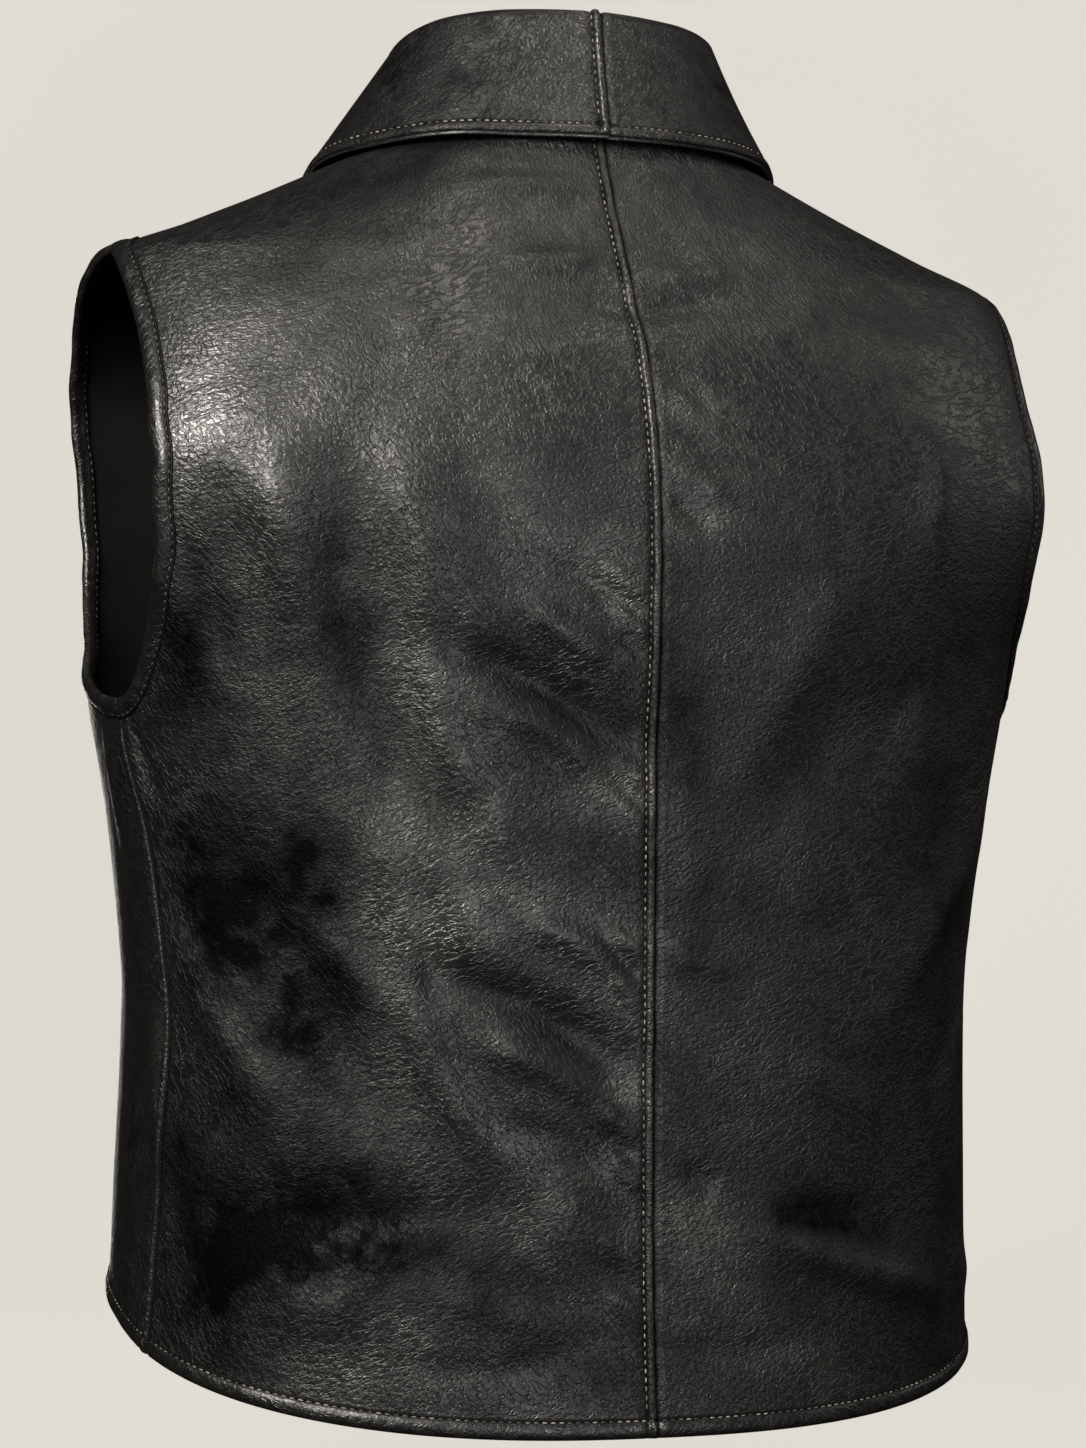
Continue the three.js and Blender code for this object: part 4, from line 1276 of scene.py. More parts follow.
@dataclass
class HemBand:
    """The strip folded over one panel's lower edge and stitched along its top."""

    panel: Panel
    stitch_inset: float = 7.5

    def grid(self, inset: Array, lift: Array) -> tuple[Array, Array]:
        """Points of a section carried along the hem, by column and spot, and its normals."""
        panel = self.panel
        angle = panel.place.angle[0]
        z = BODY.hem_height(angle)[:, None] + inset
        place = Place(np.broadcast_to(angle[:, None], z.shape), z)
        pressed = panel.lift[0][:, None] * (1 if panel.half is Half.BACK else 0.8)
        out = BODY.relief(place) + panel.under_lift(place) + pressed + lift
        return BODY.cloth(place, 0.0, out), BODY.normal(place.angle, place.z)

    def ends(self) -> Array:
        """How close each column lies to the strip's ends, from 0 away to 1 at them."""
        gap = np.where(self.panel.kind == 1, 50.0, self.panel.value)
        return np.exp(-((np.maximum(gap - 0.15, 0) / 0.8) ** 2))

    def make(self, finish: bpy.types.Material) -> bpy.types.Object:
        """Builds the strip."""
        inset, lift, shade, across = section_columns(HEM_SECTION)
        near = self.ends()[:, None]
        girth = BODY.girth_of(self.panel.place.angle[0])[:, None]
        puff = 1 + 0.05 * np.sin(girth / 6.1) + 0.05 * np.sin(girth / 3.7 + 2)
        raised = np.where(lift > 0, lift * puff - 0.55 * near * (lift > 0.6), lift)
        outer, _ = self.grid(inset, raised)
        hole, depth = band_cavity(HEM_SECTION, self.panel.hem_edge, self.panel.leather, 0.25)
        inner, _ = self.grid(hole, depth)
        shell = Shell()
        grain = np.stack(np.broadcast_arrays(girth, across, 300.0), -1)
        # The strip's ends are painted dark as shade where they meet
        add_wall(shell, outer, inner, (0, 0), np.clip(shade - 1.4 * near, -1, 1), grain=grain)
        name = f"{self.panel.half.value}_{self.panel.side.word}"
        return finish_piece(shell.build(f"hem_strip_{name}", [finish]), "bound_edge", f"hem_band_{name}")

    def line(self) -> tuple[Array, Array]:
        """Points and normals of the strip's stitch line."""
        points, normals = self.grid(np.array([self.stitch_inset]), np.array([0.6]))
        return points[:, 0], normals[:, 0]


@dataclass
class ArmholeBinding:
    """The strip folded round a whole armhole, with its stitches on both faces and tucks under the arm."""

    side: Side
    inset: float = 2.7
    leather: float = 1.4
    stitch_inset: float = 7.9
    tucks: tuple[float, ...] = (-16.0, -2.0, 2.6, 7.0, 19.0)

    def turns(self) -> Array:
        """Turns of the sections, closer together under the arm."""
        return np.concatenate([np.arange(0, 165, 1.4), np.arange(165, 198, 0.3), np.arange(198, 359.5, 1.4)])

    def grid(self, turns: Array, inset: Array, lift: Array) -> tuple[Array, Array]:
        """Points of a section carried round the armhole, by turn and spot, and its normals."""
        shape = np.broadcast(turns[:, None], inset).shape
        round_it = np.broadcast_to(turns[:, None], shape)
        place = BODY.armhole_place(self.side.value, round_it, np.broadcast_to(inset, shape))
        out = BODY.relief(place) + lift
        return BODY.cloth(place, 0.0, out), BODY.normal(place.angle, place.z)

    def tuck_share(self, turns: Array) -> Array:
        """How deep each section lies in an underarm tuck, from 0 to 1."""
        edge = BODY.armhole_edge(self.side.value, turns)
        points = BODY.point(edge.angle, edge.z)
        run = np.concatenate([[0], np.cumsum(np.linalg.norm(np.diff(points, axis=0), axis=1))])
        run -= np.interp(180, turns, run)
        return sum(np.exp(-(((run - at) / 0.75) ** 2)) for at in self.tucks)

    def make(self, finish: bpy.types.Material) -> bpy.types.Object:
        """Builds the strip."""
        turns = self.turns()
        inset, lift, shade, across = section_columns(ARMHOLE_SECTION)
        tuck = self.tuck_share(turns)[:, None]
        round_it = np.radians(turns)[:, None]
        puff = 1 + 0.05 * np.sin(round_it * 21) + 0.04 * np.sin(round_it * 37 + math.radians(50))
        raised = np.where(lift > 0.6, lift * puff - 0.6 * tuck, lift)
        outer, _ = self.grid(turns, inset, raised)
        hole, depth = band_cavity(ARMHOLE_SECTION, self.inset, self.leather, 0.3)
        inner, _ = self.grid(turns, hole, depth)
        shell = Shell()
        grain = np.stack(np.broadcast_arrays(turns[:, None] * 1.65, across, 400.0), -1)
        # The underarm tucks are painted dark as shade
        add_wall(shell, outer, inner, (0, 0), np.clip(shade - 0.9 * tuck, -1, 1), ring=True, grain=grain)
        made = shell.build(f"armhole_strip_{self.side.word}", [finish])
        return finish_piece(made, "bound_edge", f"armhole_binding_{self.side.word}")

    def line(self, outside: bool) -> tuple[Array, Array]:
        """Points and normals of the stitch line on the outer or the inner face."""
        turns = np.arange(0, 360.1, 1.2)
        points, normals = self.grid(turns, np.array([self.stitch_inset]), np.array([0.62 if outside else -2.5]))
        return points[:, 0], normals[:, 0] * (1 if outside else -1)


@dataclass
class Collar:
    """One side of the turned-down collar: upper leather and under leather, from the neck seam to the fall's edge."""

    side: Side
    leather: float = 1.3
    layer_gap: float = 0.3
    roll_radius: float = 4.0
    seam_inset: float = 1.6
    seam_lift: float = 1.2
    end: float = 172.0
    under_past: float = 1.3
    rows: int = 130
    flat_width: float = 268.0
    flat_length: float = 118.0
    spots: Reader = field(default_factory=lambda: Reader(COLLAR_LINES, "turn"))
    edge_steps: tuple[float, ...] = COLLAR_EDGE_STEPS

    def seam(self, turn: Array) -> Array:
        """Points of the neck seam on the wearer's left."""
        neck = BODY.neck_place(turn)
        under = 0 * neck.z
        if self.side is Side.RIGHT:
            front = Panel(Side.RIGHT, Half.FRONT)
            under = np.where(np.cos(neck.angle) > 0, 0, front.under_lift(Place(-neck.angle, neck.z)))
        seam = BODY.point(neck.angle, neck.z) + BODY.normal(neck.angle, neck.z) * under[..., None]
        inward = unit(np.stack([-seam[..., 0], BODY.neck_middle - seam[..., 1], 0 * under], -1))
        seam = seam + inward * self.seam_inset
        seam[..., 2] += self.seam_lift
        return seam

    def point(self, turn: Array, part: Array) -> Array:
        """Points of the collar: part 0 to 1 is the stand, 1 to 2 the roll and 2 to 3 the fall."""
        turn, part = np.broadcast_arrays(np.asarray(turn, float), np.asarray(part, float))
        seam = self.seam(turn)
        row = self.spots(turn)
        roll = np.stack([row["roll_x"], row["roll_y"], row["roll_z"]], -1)
        edge = np.stack([row["edge_x"], row["edge_y"], row["edge_z"]], -1)
        after, before = self.spots(np.minimum(self.end, turn + 1)), self.spots(np.maximum(0, turn - 1))
        along = unit(np.stack([after[key] - before[key] for key in ("roll_x", "roll_y", "roll_z")], -1))

        def across(to: Array) -> Array:
            way = to - roll
            return unit(way - along * (way * along).sum(-1, keepdims=True))

        outward = unit(across(edge) - across(seam))
        upward = -unit(across(edge) + across(seam))

        def around(angle: Array) -> Array:
            turned = roll + outward * (self.roll_radius * np.cos(angle))[..., None]
            return turned + upward * (self.roll_radius * (np.sin(angle) - 1))[..., None]

        stand = blend_between(seam, around(np.full(part.shape, math.pi)), np.clip(part, 0, 1)[..., None])
        arc = around(math.pi * (2 - np.clip(part, 1, 2)))
        drop = np.maximum(part - 2, 0)[..., None]
        fall = blend_between(around(np.zeros(part.shape)), edge, drop)
        fall = fall + outward * (row["bulge"] * np.sin(math.pi * np.clip(part - 2, 0, 1)))[..., None]
        out = np.select([(part <= 1)[..., None], (part <= 2)[..., None]], [stand, arc], fall)
        out[..., 0] *= self.side.value
        return out

    def grids(self, past: float) -> tuple[Array, Array, Array, Array]:
        """Turns, parts, distances from the centre back and distances from the fall's edge, of the whole grid."""
        probe = np.linspace(0, self.end, 60)
        lengths = np.linalg.norm(self.point(probe, 3.0) - self.point(probe, 2.0), axis=-1)
        edge = np.array(self.edge_steps)[::-1]
        upper = np.concatenate([np.linspace(0, 1, 12)[:-1], np.linspace(1, 2, 14)[:-1]])
        share = np.linspace(0, 1, 22)[:-1]
        steps = np.concatenate([EDGE_STEPS[:-1], [12.5]])
        rows = np.linspace(0, 1, self.rows)[1:]

        def parts_at(turn: Array) -> tuple[Array, Array]:
            length = np.interp(turn, probe, lengths)[:, None]
            last = 3 - edge[0] / length
            fall = blend_between(2.0, last, share)
            near = 3 - (edge - past) / length
            part = np.hstack([np.broadcast_to(upper, (len(turn), len(upper))), fall, near])
            return part, (3 - part) * length + past

        middle, _ = parts_at(np.zeros(1))
        pace = np.linalg.norm(self.point(1.0, middle[0]) - self.point(0.0, middle[0]), axis=-1)
        near_turn = steps[:, None] / pace
        turn = np.vstack([near_turn, blend_between(near_turn[-1], self.end, rows[:, None])])
        part, distance = parts_at(turn.mean(1))
        near_middle = np.broadcast_to(steps[:, None], near_turn.shape)
        from_middle = np.vstack([near_middle, np.full((len(rows), len(pace)), FAR_IN)])
        return turn, part, from_middle, distance

    def normal(self, turn: Array, part: Array) -> Array:
        """Outward directions of the collar."""
        around = self.point(turn + 0.5, part) - self.point(np.maximum(0.01, turn - 0.5), part)
        along = self.point(turn, part + 0.06) - self.point(turn, np.maximum(0, part - 0.06))
        return unit(np.cross(around, along)) * self.side.value

    def waves(self, turn: Array, part: Array) -> Array:
        """Soft uneven waves of the fall and stand."""
        down = np.clip(part - 1.6, 0, 1.4)
        side = 0.0 if self.side is Side.LEFT else 1.7
        broad = 0.45 * np.sin(np.radians(turn * 5.1) + side + part)
        return (broad + 0.35 * np.sin(np.radians(turn * 9.3) + 2 * side - 1.5 * part)) * down * 0.8

    def layer(self, top: float, past: float, upper: bool, finishes: Sequence[bpy.types.Material]) -> bpy.types.Object:
        """Builds one layer of the collar."""
        turn, part, from_middle, distance = self.grids(past)
        normal = self.normal(turn, part)
        base = self.point(turn, part)
        edge = read_profile(TURNED_EDGE, np.where(part > 2, distance, FAR_IN))
        seam = read_profile(LAPPED_EDGE if self.side is Side.LEFT else PRESSED_EDGE, from_middle)
        fade = smooth_step((part - 0.9) / 0.3)
        lift = edge[0] * (1 if upper else 0.3) + seam[0] * fade * (1 if upper else 0) + self.waves(turn, part)
        # The under leather is painted 0.2 darker all over as shade, where it lies under the fall
        shade = np.clip(edge[1] + seam[1] * fade, -1, 1) if upper else edge[1] * 0.5 - 0.2
        outer = base + normal * (lift - top)[..., None]
        inner = base + normal * (self.waves(turn, part) - top - self.leather)[..., None]
        shell = Shell()
        grain = np.stack([turn * 1.55 * self.side.value, -distance, 0 * turn + 500 * self.side.value], -1)
        # Painted highlight near the centre back and painted shade towards the front, with the gloss to match
        wear = 0.9 * np.exp(-(((turn - 5) / 13) ** 2)) - 1.15 * smooth_step((turn - 18) / 24) + 0 * distance
        add_wall(shell, outer, inner, (0, 0) if upper else (0, 1), shade, grain=grain, wear=wear)
        word = "upper" if upper else "under"
        made = shell.build(f"collar_{word}_leather_{self.side.word}", finishes)
        return finish_piece(made, "collar_leather", f"collar_{word}_{self.side.word}")

    def lines(self) -> list[tuple[Array, Array]]:
        """Stitch lines along the fall's edge and, on the left, beside the middle seam."""
        probe = np.linspace(2.2, self.end - 2, 220)
        length = np.linalg.norm(self.point(probe, 3.0) - self.point(probe, 2.0), axis=-1)
        part = 3 - 4.6 / length
        normal = self.normal(probe, part)
        out = [(self.point(probe, part) + normal * (self.waves(probe, part) - 0.38)[:, None], normal)]
        if self.side is Side.LEFT:
            part = np.linspace(1.1, 3 - 6.5 / float(length[0]), 60)
            pace = np.linalg.norm(self.point(1.0, part) - self.point(0.0, part), axis=-1)
            turn = STITCH_LINE / pace
            normal = self.normal(turn, part)
            out.append((self.point(turn, part) + normal * (self.waves(turn, part) - 0.38)[:, None], normal))
        return out


@dataclass
class PressStud:
    """A capped press stud of the front lap, with a rolled rim and a low dome."""

    number: int
    count: int = 5
    top_drop: float = 18.0
    hem_rise: float = 55.0
    segments: int = 40
    profile: tuple[tuple[float, float], ...] = (
        (6.2, -0.2),
        (6.5, 0.1),
        (6.5, 0.6),
        (6.25, 0.95),
        (5.8, 1.05),
        (5.35, 0.9),
        (5.1, 0.8),
        (4.8, 1.05),
        (4.1, 1.55),
        (3.0, 1.98),
        (1.6, 2.25),
        (0.25, 2.32),
    )

    def make(self, finish: bpy.types.Material) -> bpy.types.Object:
        """Builds the cap on the left front."""
        first = float(BODY.neck_place(np.array(180.0)).z) - self.top_drop
        last = float(BODY.hem_height(np.array(math.pi))) + self.hem_rise
        z = np.array(blend_between(first, last, (self.number - 1) / (self.count - 1)))
        place = Place(np.array(math.pi), z)
        normal = BODY.normal(place.angle, place.z)
        base = BODY.cloth(place, 0.4)
        side = unit(np.cross(normal, np.array([0.0, 0.0, 1.0])))
        up = np.cross(side, normal)
        turn = np.linspace(0, 2 * math.pi, self.segments, endpoint=False)
        ring = side * np.cos(turn)[:, None] + up * np.sin(turn)[:, None]
        grid = np.stack([base + ring * reach + normal * height for reach, height in self.profile], 1)
        shell = Shell()
        index = shell.add_grid(grid, ring=True)
        for column, flip in ((0, True), (-1, False)):
            shell.fan(index[:, column], base + normal * self.profile[column][1], flip)
        made = shell.build(f"stud_cap_{self.number}", [finish])
        return finish_piece(made, "stud_metal", f"press_stud_{self.number}")


# ---- finishes ----


def linear(colour: str) -> tuple[float, float, float, float]:
    """Turns an sRGB hex colour such as "#2b2a28" into Blender's linear colour."""
    channels = [int(colour[i : i + 2], 16) / 255 for i in (1, 3, 5)]
    return (*(c / 12.92 if c <= 0.04045 else ((c + 0.055) / 1.055) ** 2.4 for c in channels), 1.0)


def add_node(tree: bpy.types.NodeTree, kind: str, links: dict[Any, Any] | None = None, **settings: Any) -> Any:
    """Adds one node.

    Args:
        tree: The material's node tree.
        kind: The node's type name.
        links: For each input, by name or number, the socket or the value that it takes.
        settings: The node's own settings.

    Returns:
        The new node.
    """
    node = tree.nodes.new(kind)
    for name, value in settings.items():
        setattr(node, name, value)
    for socket, value in (links or {}).items():
        if isinstance(value, bpy.types.NodeSocket):
            tree.links.new(value, node.inputs[socket])
        else:
            node.inputs[socket].default_value = value
    return node


def blank_material(name: str) -> tuple[bpy.types.Material, bpy.types.NodeTree, Any]:
    """A new material with its node tree and its one surface shader."""
    material = bpy.data.materials.new(name)
    material.use_nodes = True
    tree = material.node_tree
    tree.nodes.clear()
    shader = add_node(tree, "ShaderNodeBsdfPrincipled")
    add_node(tree, "ShaderNodeOutputMaterial", {"Surface": shader.outputs["BSDF"]})
    return material, tree, shader


def noise_of(tree: bpy.types.NodeTree, where: Any, scale: float, detail: float) -> Any:
    """The value of a noise with a number of features to the metre."""
    return add_node(tree, "ShaderNodeTexNoise", {"Vector": where, "Scale": scale, "Detail": detail}).outputs["Fac"]


def tint_of(tree: bpy.types.NodeTree, share: Any, a: Any, b: Any) -> Any:
    """A colour between two others."""
    return add_node(tree, "ShaderNodeMix", {"Factor": share, 6: a, 7: b}, data_type="RGBA").outputs[2]


def emboss(tree: bpy.types.NodeTree, shader: Any, height: Any, strength: float, depth_mm: float) -> None:
    """Bumps a shader's surface by a height."""
    bump = add_node(tree, "ShaderNodeBump", {"Height": height, "Strength": strength, "Distance": depth_mm * MM})
    tree.links.new(bump.outputs["Normal"], shader.inputs["Normal"])


@dataclass(frozen=True)
class GrainLeather:
    """Drum-dyed cowhide, full grain, waxed and worn: near-black, with a crackle of wrinkles, rubbed patches, and
    painted highlights and shade.

    The dye is thin over the grain, so it rubs to a warm grey-brown on ridges and stays black in the wrinkles.
    The real grain is about 1 mm across; it is drawn at 2 to 3 mm, so that it shows in the picture.
    """

    name: str
    # The deepest colour is also that of the painted shade, and the rubbed colour also that of the painted highlights
    deep: str = "#030303"
    body: str = "#0e0e0d"
    rubbed: str = "#393734"
    rough_low: float = 0.3
    rough_high: float = 0.47
    ior: float = 1.5
    pebble_mm: float = 2.2
    wrinkle_mm: float = 3.9
    stretch: float = 2.6
    steep_lines: float = 52.0
    level_lines: float = 162.0
    patch_mm: float = 62.0
    depth_mm: float = 0.45

    def make(self) -> bpy.types.Material:
        """Builds the material."""
        material, tree, shader = blank_material(self.name)
        # The shade layer holds painted seam shadow and rim highlights; the next holds the patches' painted highlights
        # and shade
        grain, shade, patch = (
            add_node(tree, "ShaderNodeAttribute", attribute_name=key, attribute_type="GEOMETRY").outputs[output]
            for key, output in (("grain", "Vector"), ("shade", "Fac"), ("wear", "Fac"))
        )

        def noise(size_mm: float, detail: float, where: Any = grain, rough: float = 0.55) -> Any:
            """The value of a noise with features of a size."""
            links = {"Vector": where, "Scale": 1000.0 / size_mm, "Detail": detail, "Roughness": rough}
            return add_node(tree, "ShaderNodeTexNoise", links).outputs["Fac"]

        def ramp(value: Any, low: float, high: float, start: float = 0.0, end: float = 1.0) -> Any:
            """A value stretched from one range to another, held at its ends."""
            links = {"Value": value, "From Min": low, "From Max": high, "To Min": start, "To Max": end}
            return add_node(tree, "ShaderNodeMapRange", links).outputs["Result"]

        def sum_of(kind: str, a: Any, b: Any = 0.0) -> Any:
            """One sum of two values, of a kind such as ADD, MULTIPLY or MAXIMUM."""
            return add_node(tree, "ShaderNodeMath", {0: a, 1: b}, operation=kind).outputs[0]

        def tint(share: Any, a: Any, b: Any) -> Any:
            """A colour between two others."""
            return tint_of(tree, share, a, b)

        def cracks(angle: float, size_mm: float) -> Any:
            """Wrinkles that run along one direction: 0 at the bottom of each, 1 on the leather between."""
            links = {"Vector": grain, "Rotation": (0, 0, math.radians(angle)), "Scale": (self.stretch, 1, 1)}
            turned = add_node(tree, "ShaderNodeMapping", links, vector_type="TEXTURE").outputs["Vector"]
            value = noise(size_mm, 2.5, turned, 0.65)
            return ramp(sum_of("ABSOLUTE", sum_of("SUBTRACT", value, 0.5)), 0.0, 0.045)

        patches = noise(self.patch_mm, 3.0, rough=0.6)
        blotches = noise(self.patch_mm / 4.5, 3.0, rough=0.6)
        steep = cracks(self.steep_lines, self.wrinkle_mm)
        level = cracks(self.level_lines, self.wrinkle_mm * 1.15)
        lean = ramp(patches, 0.42, 0.58)
        steep_share = sum_of("MAXIMUM", steep, sum_of("MULTIPLY", lean, 0.75))
        level_share = sum_of("MAXIMUM", level, sum_of("SUBTRACT", 0.75, sum_of("MULTIPLY", lean, 0.75)))
        crackle = sum_of("MULTIPLY", steep_share, level_share)
        links = {"Vector": grain, "Scale": 1000.0 / self.pebble_mm, "Randomness": 1.0}
        pebbles = add_node(tree, "ShaderNodeTexVoronoi", links, feature="F1").outputs["Distance"]
        # Painted shadow in seam grooves, tucks, strip ends and other recesses
        groove_shadow = ramp(shade, -1.0, -0.1)
        # Painted highlight on folded rims, partly edge wear
        rim_wear_and_highlight = ramp(shade, 0.15, 1.0)

        mottle = sum_of("ADD", sum_of("MULTIPLY", patches, 0.6), sum_of("MULTIPLY", blotches, 0.4))
        # Random mottle of the dye, plus the painted highlights and painted shade of the patches
        wear = sum_of("ADD", patch, ramp(mottle, 0.38, 0.66, -0.8, 0.8))
        dye_and_painted_shade = tint(ramp(wear, -1.8, 1.2), linear(self.deep), linear(self.body))
        # Lighter rubbed leather between wrinkles, plus painted highlights from the patches and rims
        rubs_and_painted_highlights = sum_of("MULTIPLY", ramp(wear, 0.1, 1.4, 0.0, 0.45), crackle)
        rubs_and_painted_highlights = sum_of("MAXIMUM", rubs_and_painted_highlights, sum_of("MULTIPLY", rim_wear_and_highlight, ramp(blotches, 0.42, 0.6, 0.1, 0.5)))
        worn_and_painted_light = tint(rubs_and_painted_highlights, dye_and_painted_shade, linear(self.rubbed))
        # Painted shadow: the grooves are darkened towards #020202
        shadow = sum_of("MULTIPLY", groove_shadow, ramp(crackle, 0.0, 1.0, 0.35, 1.0))
        tree.links.new(tint(shadow, linear("#020202"), worn_and_painted_light), shader.inputs["Base Color"])

        rough = ramp(wear, -1.2, 1.0, self.rough_high, self.rough_low)
        rough = sum_of("ADD", rough, ramp(crackle, 0.0, 1.0, 0.18, 0.0))
        rough = sum_of("ADD", rough, ramp(groove_shadow, 0.0, 1.0, 0.35, 0.0))
        tree.links.new(sum_of("SUBTRACT", rough, sum_of("MULTIPLY", rim_wear_and_highlight, 0.1)), shader.inputs["Roughness"])
        shine = sum_of("MULTIPLY", ramp(wear, -2.5, 1.2, 0.02, 0.75), ramp(groove_shadow, 0.0, 1.0, 0.2, 1.0))
        tree.links.new(shine, shader.inputs["Specular IOR Level"])

        height = sum_of("ADD", sum_of("MULTIPLY", crackle, 0.55), sum_of("MULTIPLY", noise(1.7, 2.0, rough=0.6), 0.8))
        height = sum_of("SUBTRACT", height, sum_of("MULTIPLY", pebbles, 0.3))
        emboss(tree, shader, height, 1.0, self.depth_mm)
        shader.inputs["IOR"].default_value = self.ior
        return material


@dataclass(frozen=True)
class FleshSide:
    """The buffed flesh side of the hide, dyed black: short fibres that drink the light, with no gloss."""

    name: str = "flesh_side"
    dark: str = "#060505"
    colour: str = "#0e0d0d"
    roughness: float = 0.94
    nap_mm: float = 1.2
    cloud_mm: float = 40.0

    def make(self) -> bpy.types.Material:
        """Builds the material."""
        material, tree, shader = blank_material(self.name)
        coords = add_node(tree, "ShaderNodeTexCoord").outputs["Object"]
        nap = noise_of(tree, coords, 1000 / self.nap_mm, 3.0)
        cloud = noise_of(tree, coords, 1000 / self.cloud_mm, 3.0)
        tree.links.new(tint_of(tree, cloud, linear(self.dark), linear(self.colour)), shader.inputs["Base Color"])
        emboss(tree, shader, nap, 0.8, 0.3)
        shader.inputs["Roughness"].default_value = self.roughness
        shader.inputs["Specular IOR Level"].default_value = 0.15
        return material


@dataclass(frozen=True)
class WaxedThread:
    """Waxed polyester sewing thread, grey with wear: a soft satin bar with a fine twist."""

    name: str = "waxed_thread"
    clean: str = "#827c72"
    dirty: str = "#262421"
    roughness: float = 0.5
    twist_mm: float = 0.5
    dirt_mm: float = 7.0

    def make(self) -> bpy.types.Material:
        """Builds the material."""
        material, tree, shader = blank_material(self.name)
        coords = add_node(tree, "ShaderNodeTexCoord").outputs["Object"]
        dirt = noise_of(tree, coords, 1000 / self.dirt_mm, 3.0)
        share = add_node(tree, "ShaderNodeMapRange", {"Value": dirt, "From Min": 0.43, "From Max": 0.62})
        tone = tint_of(tree, share.outputs["Result"], linear(self.dirty), linear(self.clean))
        tree.links.new(tone, shader.inputs["Base Color"])
        emboss(tree, shader, noise_of(tree, coords, 1000 / self.twist_mm, 1.0), 0.5, 0.1)
        shader.inputs["Roughness"].default_value = self.roughness
        return material


@dataclass(frozen=True)
class DarkNickel:
    """Brass stud caps plated in dark nickel: a smooth grey metal with fine rubs."""

    name: str = "dark_nickel"
    colour: str = "#6a6660"
    roughness: float = 0.26
    rubbed_more: float = 0.14
    rub_mm: float = 2.2

    def make(self) -> bpy.types.Material:
        """Builds the material."""
        material, tree, shader = blank_material(self.name)
        coords = add_node(tree, "ShaderNodeTexCoord").outputs["Object"]
        links = {"Value": noise_of(tree, coords, 1000 / self.rub_mm, 4.0), "From Min": 0.3, "From Max": 0.7}
        links |= {"To Min": self.roughness, "To Max": self.roughness + self.rubbed_more}
        rough = add_node(tree, "ShaderNodeMapRange", links)
        tree.links.new(rough.outputs["Result"], shader.inputs["Roughness"])
        shader.inputs["Base Color"].default_value = linear(self.colour)
        shader.inputs["Metallic"].default_value = 1.0
        return material


# ---- the studio ----


@dataclass(frozen=True)
class Softbox:
    """A soft area light, placed from the vest's middle along the camera's right, up and toward directions."""

    name: str
    right: float
    up: float
    toward: float
    width: float
    height: float
    power: float
    colour: str = "#fffaf2"


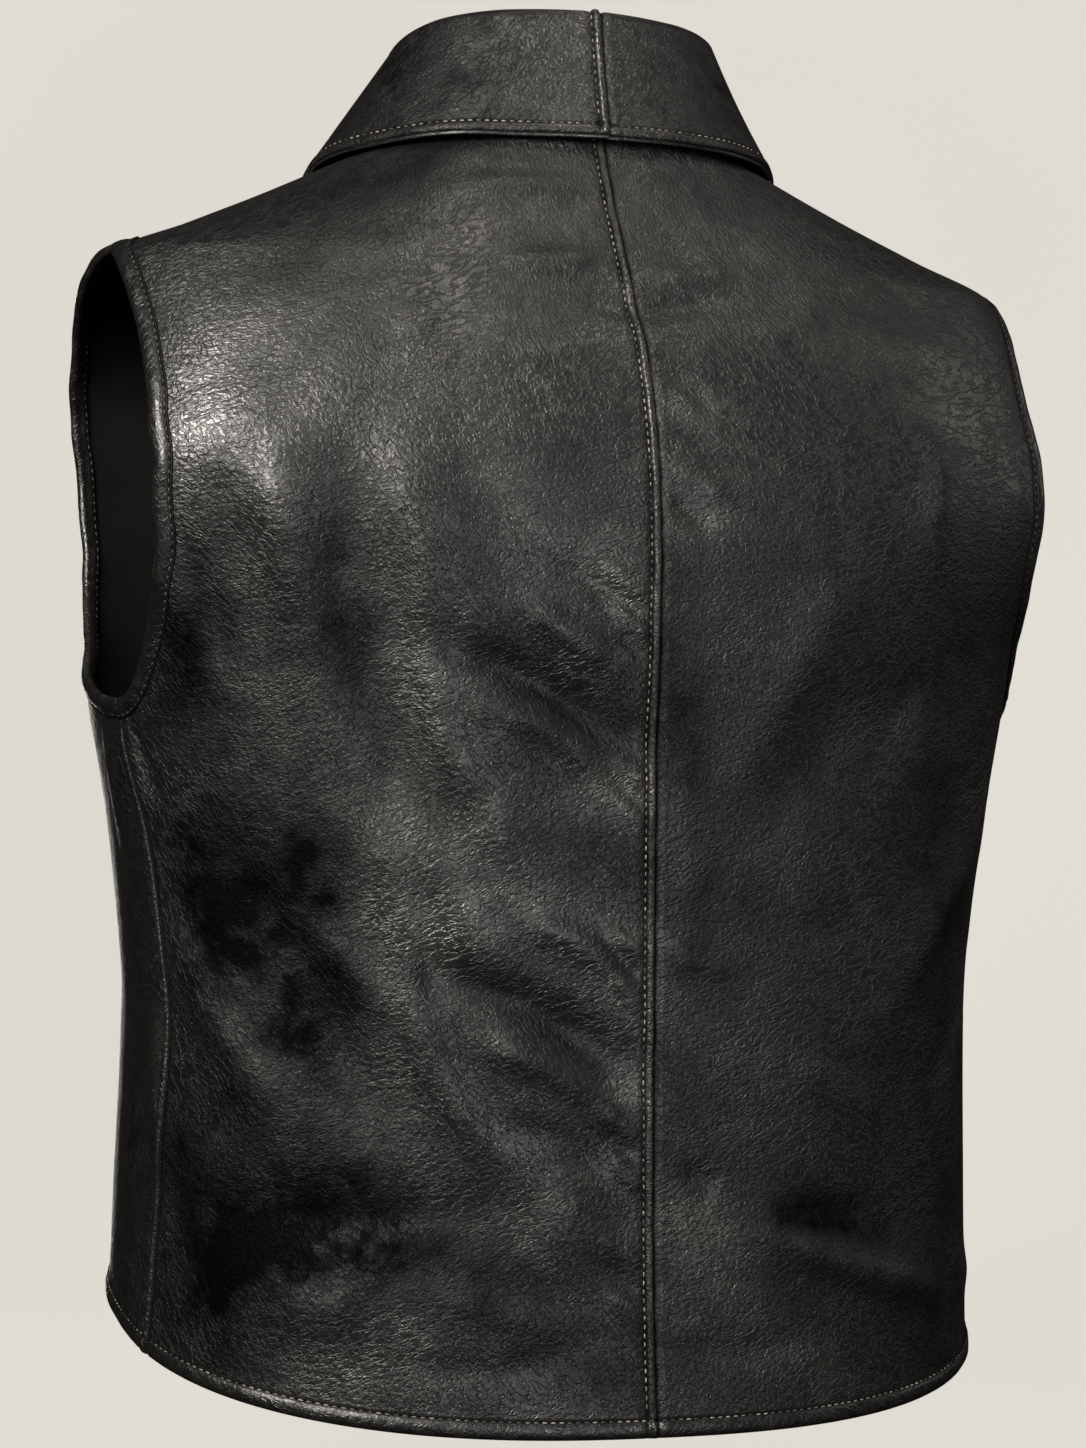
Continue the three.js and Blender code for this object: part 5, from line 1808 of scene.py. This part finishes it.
@dataclass
class Studio:
    """The camera at the photograph's angle, the soft lights, and a plain pale floor that curves up all round."""

    eye_mm: tuple[float, float, float] = (537.30, 1377.60, -220.59)
    yaw: float = 201.12
    pitch: float = -1.88
    roll: float = 1.21
    focal_px: float = 3210.76
    image_height: float = 1448.0
    film_mm: float = 36.0
    middle_mm: tuple[float, float, float] = (0.0, 0.0, -270.0)
    floor_z: float = -1.05
    floor_sides: int = 96
    floor_profile: tuple[tuple[float, float], ...] = (
        (1.2, 0.0),
        (2.2, 0.0),
        (2.8, 0.08),
        (3.2, 0.28),
        (3.5, 0.65),
        (3.6, 1.3),
        (3.65, 3.4),
    )
    backdrop: str = "#ece7df"
    backdrop_glow: float = 0.965
    room_glow: float = 0.02
    lights: tuple[Softbox, ...] = (
        Softbox("key_softbox", -0.62, 0.98, 1.7, 0.8, 0.95, 92.0),
        Softbox("fill_softbox", 1.05, 0.15, 1.85, 0.7, 1.3, 12.5, "#fffdfa"),
        Softbox("top_softbox", 0.55, 2.0, 0.6, 0.9, 0.6, 13.0),
        Softbox("front_softbox", -0.3, 0.0, -2.1, 1.2, 1.2, 42.0),
        Softbox("edge_softbox", 1.9, 0.9, -0.45, 0.35, 1.5, 5.0),
    )

    def axes(self) -> tuple[Vector, Vector, Vector]:
        """The camera's right, up and forward directions."""
        yaw, pitch, roll = (math.radians(a) for a in (self.yaw, self.pitch, self.roll))
        forward = Vector((math.sin(yaw) * math.cos(pitch), math.cos(yaw) * math.cos(pitch), math.sin(pitch)))
        right = forward.cross(Vector((0, 0, 1))).normalized()
        up = right.cross(forward)
        turned = right * math.cos(roll) + up * math.sin(roll)
        return turned, up * math.cos(roll) - right * math.sin(roll), forward

    def camera(self) -> None:
        """Sets the camera at the photograph's place and angle."""
        right, up, forward = self.axes()
        data = bpy.data.cameras.new("photo_camera")
        data.sensor_fit = "VERTICAL"
        data.sensor_height = self.film_mm
        data.sensor_width = self.film_mm * 0.75
        data.lens = self.focal_px * self.film_mm / self.image_height
        data.clip_end = 50
        made = bpy.data.objects.new("photo_camera", data)
        turned = Matrix((right, up, -forward)).transposed().to_4x4()
        made.matrix_world = Matrix.Translation(Vector(self.eye_mm) * MM) @ turned
        bpy.context.scene.collection.objects.link(made)
        bpy.context.scene.camera = made

    def light(self) -> None:
        """Places the softboxes and the pale surroundings."""
        right, up, forward = self.axes()
        middle = Vector(self.middle_mm) * MM
        for box in self.lights:
            data = bpy.data.lights.new(box.name, "AREA")
            data.shape = "RECTANGLE"
            data.size, data.size_y = box.width, box.height
            data.energy = box.power
            data.color = linear(box.colour)[:3]
            made = bpy.data.objects.new(box.name, data)
            made.location = middle + right * box.right + up * box.up - forward * box.toward
            made.rotation_euler = (middle - made.location).to_track_quat("-Z", "Y").to_euler()
            made.visible_camera = False
            bpy.context.scene.collection.objects.link(made)
        world = bpy.data.worlds.new("pale_room")
        world.use_nodes = True
        world.node_tree.nodes["Background"].inputs["Color"].default_value = linear("#f1eee8")
        world.node_tree.nodes["Background"].inputs["Strength"].default_value = self.room_glow
        bpy.context.scene.world = world

    def floor(self) -> None:
        """Lays the floor as one wide dish, so that no horizon shows from any side."""
        turns = np.linspace(0, 2 * math.pi, self.floor_sides, endpoint=False)
        rings = [
            [(out * math.cos(turn), out * math.sin(turn), self.floor_z + rise) for out, rise in self.floor_profile]
            for turn in turns
        ]
        grid = np.array(rings) / MM
        shell = Shell()
        index = shell.add_grid(grid, ring=True)
        shell.fan(index[:, 0], np.array([0, 0, self.floor_z / MM]))
        material, tree, shader = blank_material("pale_paper")
        coords = add_node(tree, "ShaderNodeTexCoord").outputs["Object"]
        cloud = noise_of(tree, coords, 0.7, 2.0)
        tone = tint_of(tree, cloud, linear("#dcd7cf"), linear(self.backdrop))
        tree.links.new(tone, shader.inputs["Emission Color"])
        shader.inputs["Emission Strength"].default_value = self.backdrop_glow
        shader.inputs["Base Color"].default_value = linear("#000000")
        shader.inputs["Specular IOR Level"].default_value = 0.0
        shader.inputs["Roughness"].default_value = 0.9
        made = shell.build("studio_floor", [material])
        made.visible_diffuse = False
        made.visible_glossy = False


def sew(
    name: str, thread: Thread, lines: Sequence[tuple[Array, Array]], finish: bpy.types.Material, slot: str
) -> bpy.types.Object:
    """Makes the stitches of several lines as one piece.

    Args:
        name: The piece's name.
        thread: The thread and its stitch length.
        lines: Points and normals of each line.
        finish: The thread's material.
        slot: The material slot of what it is sewn into.

    Returns:
        The piece.
    """
    shell = Shell()
    count = sum(thread.stitches(shell, points, normals) for points, normals in lines)
    made = finish_piece(shell.build(name, [finish]), slot)
    log.info("%s: %d stitches", name, count)
    return made


def main() -> None:
    """Loads the frame, builds each piece in order and reports it."""
    logging.basicConfig(level=logging.INFO, format="%(name)s: %(message)s")
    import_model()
    scene = bpy.context.scene
    scene.view_settings.view_transform = "Standard"
    scene.view_settings.look = "None"
    studio = Studio()
    studio.camera()
    studio.light()
    studio.floor()

    grain = GrainLeather("waxed_cowhide").make()
    trim_look = {"body": "#0f0f0e", "rough_low": 0.24, "rough_high": 0.4, "patch_mm": 30.0, "depth_mm": 0.22}
    trim = GrainLeather("waxed_cowhide_trim", **trim_look).make()
    neck_grain = GrainLeather("waxed_cowhide_collar", patch_mm=48.0, wrinkle_mm=3.0).make()
    flesh = FleshSide().make()
    thread_finish = WaxedThread().make()
    dark_thread = WaxedThread("waxed_thread_dark", "#3a3733", "#121110").make()
    nickel = DarkNickel().make()
    thread = Thread()

    sheets: list[tuple[bpy.types.Object, float, float, list[bpy.types.Object]]] = []
    for side in Side:
        for half in Half:
            panel = Panel(side, half)
            made = panel.make((grain, flesh))
            band = HemBand(panel)
            strip = band.make(trim)
            seams = [band.line()]
            if half is Half.BACK and side is Side.LEFT:
                seams.append(panel.line(STITCH_LINE, inner=True))
            if half is Half.FRONT:
                seams.append(panel.line(FRONT_STITCH_LINE, inner=True))
            stitches = sew(f"thread_{half.value}_{side.word}", thread, seams, thread_finish, "leather")
            sheets.append((made, *PANEL_CUT[half], [strip, stitches]))
        binding = ArmholeBinding(side)
        strip = binding.make(trim)
        seams = [binding.line(True), binding.line(False)]
        stitches = sew(f"thread_armhole_{side.word}", thread, seams, dark_thread, "bound_edge")
        sheets[-2][3].extend([strip, stitches])
    for side in Side:
        collar = Collar(side)
        upper = collar.layer(0.0, 0.0, True, (neck_grain, flesh))
        under = collar.layer(collar.leather + collar.layer_gap, collar.under_past, False, (trim, neck_grain))
        stitches = sew(f"thread_collar_{side.word}", thread, collar.lines(), thread_finish, "collar_leather")
        sheets.append((upper, collar.flat_width, collar.flat_length, [stitches]))
        sheets.append((under, collar.flat_width, collar.flat_length, []))
    caps = [PressStud(number).make(nickel) for number in range(1, 6)]


if __name__ == "__main__":
    main()
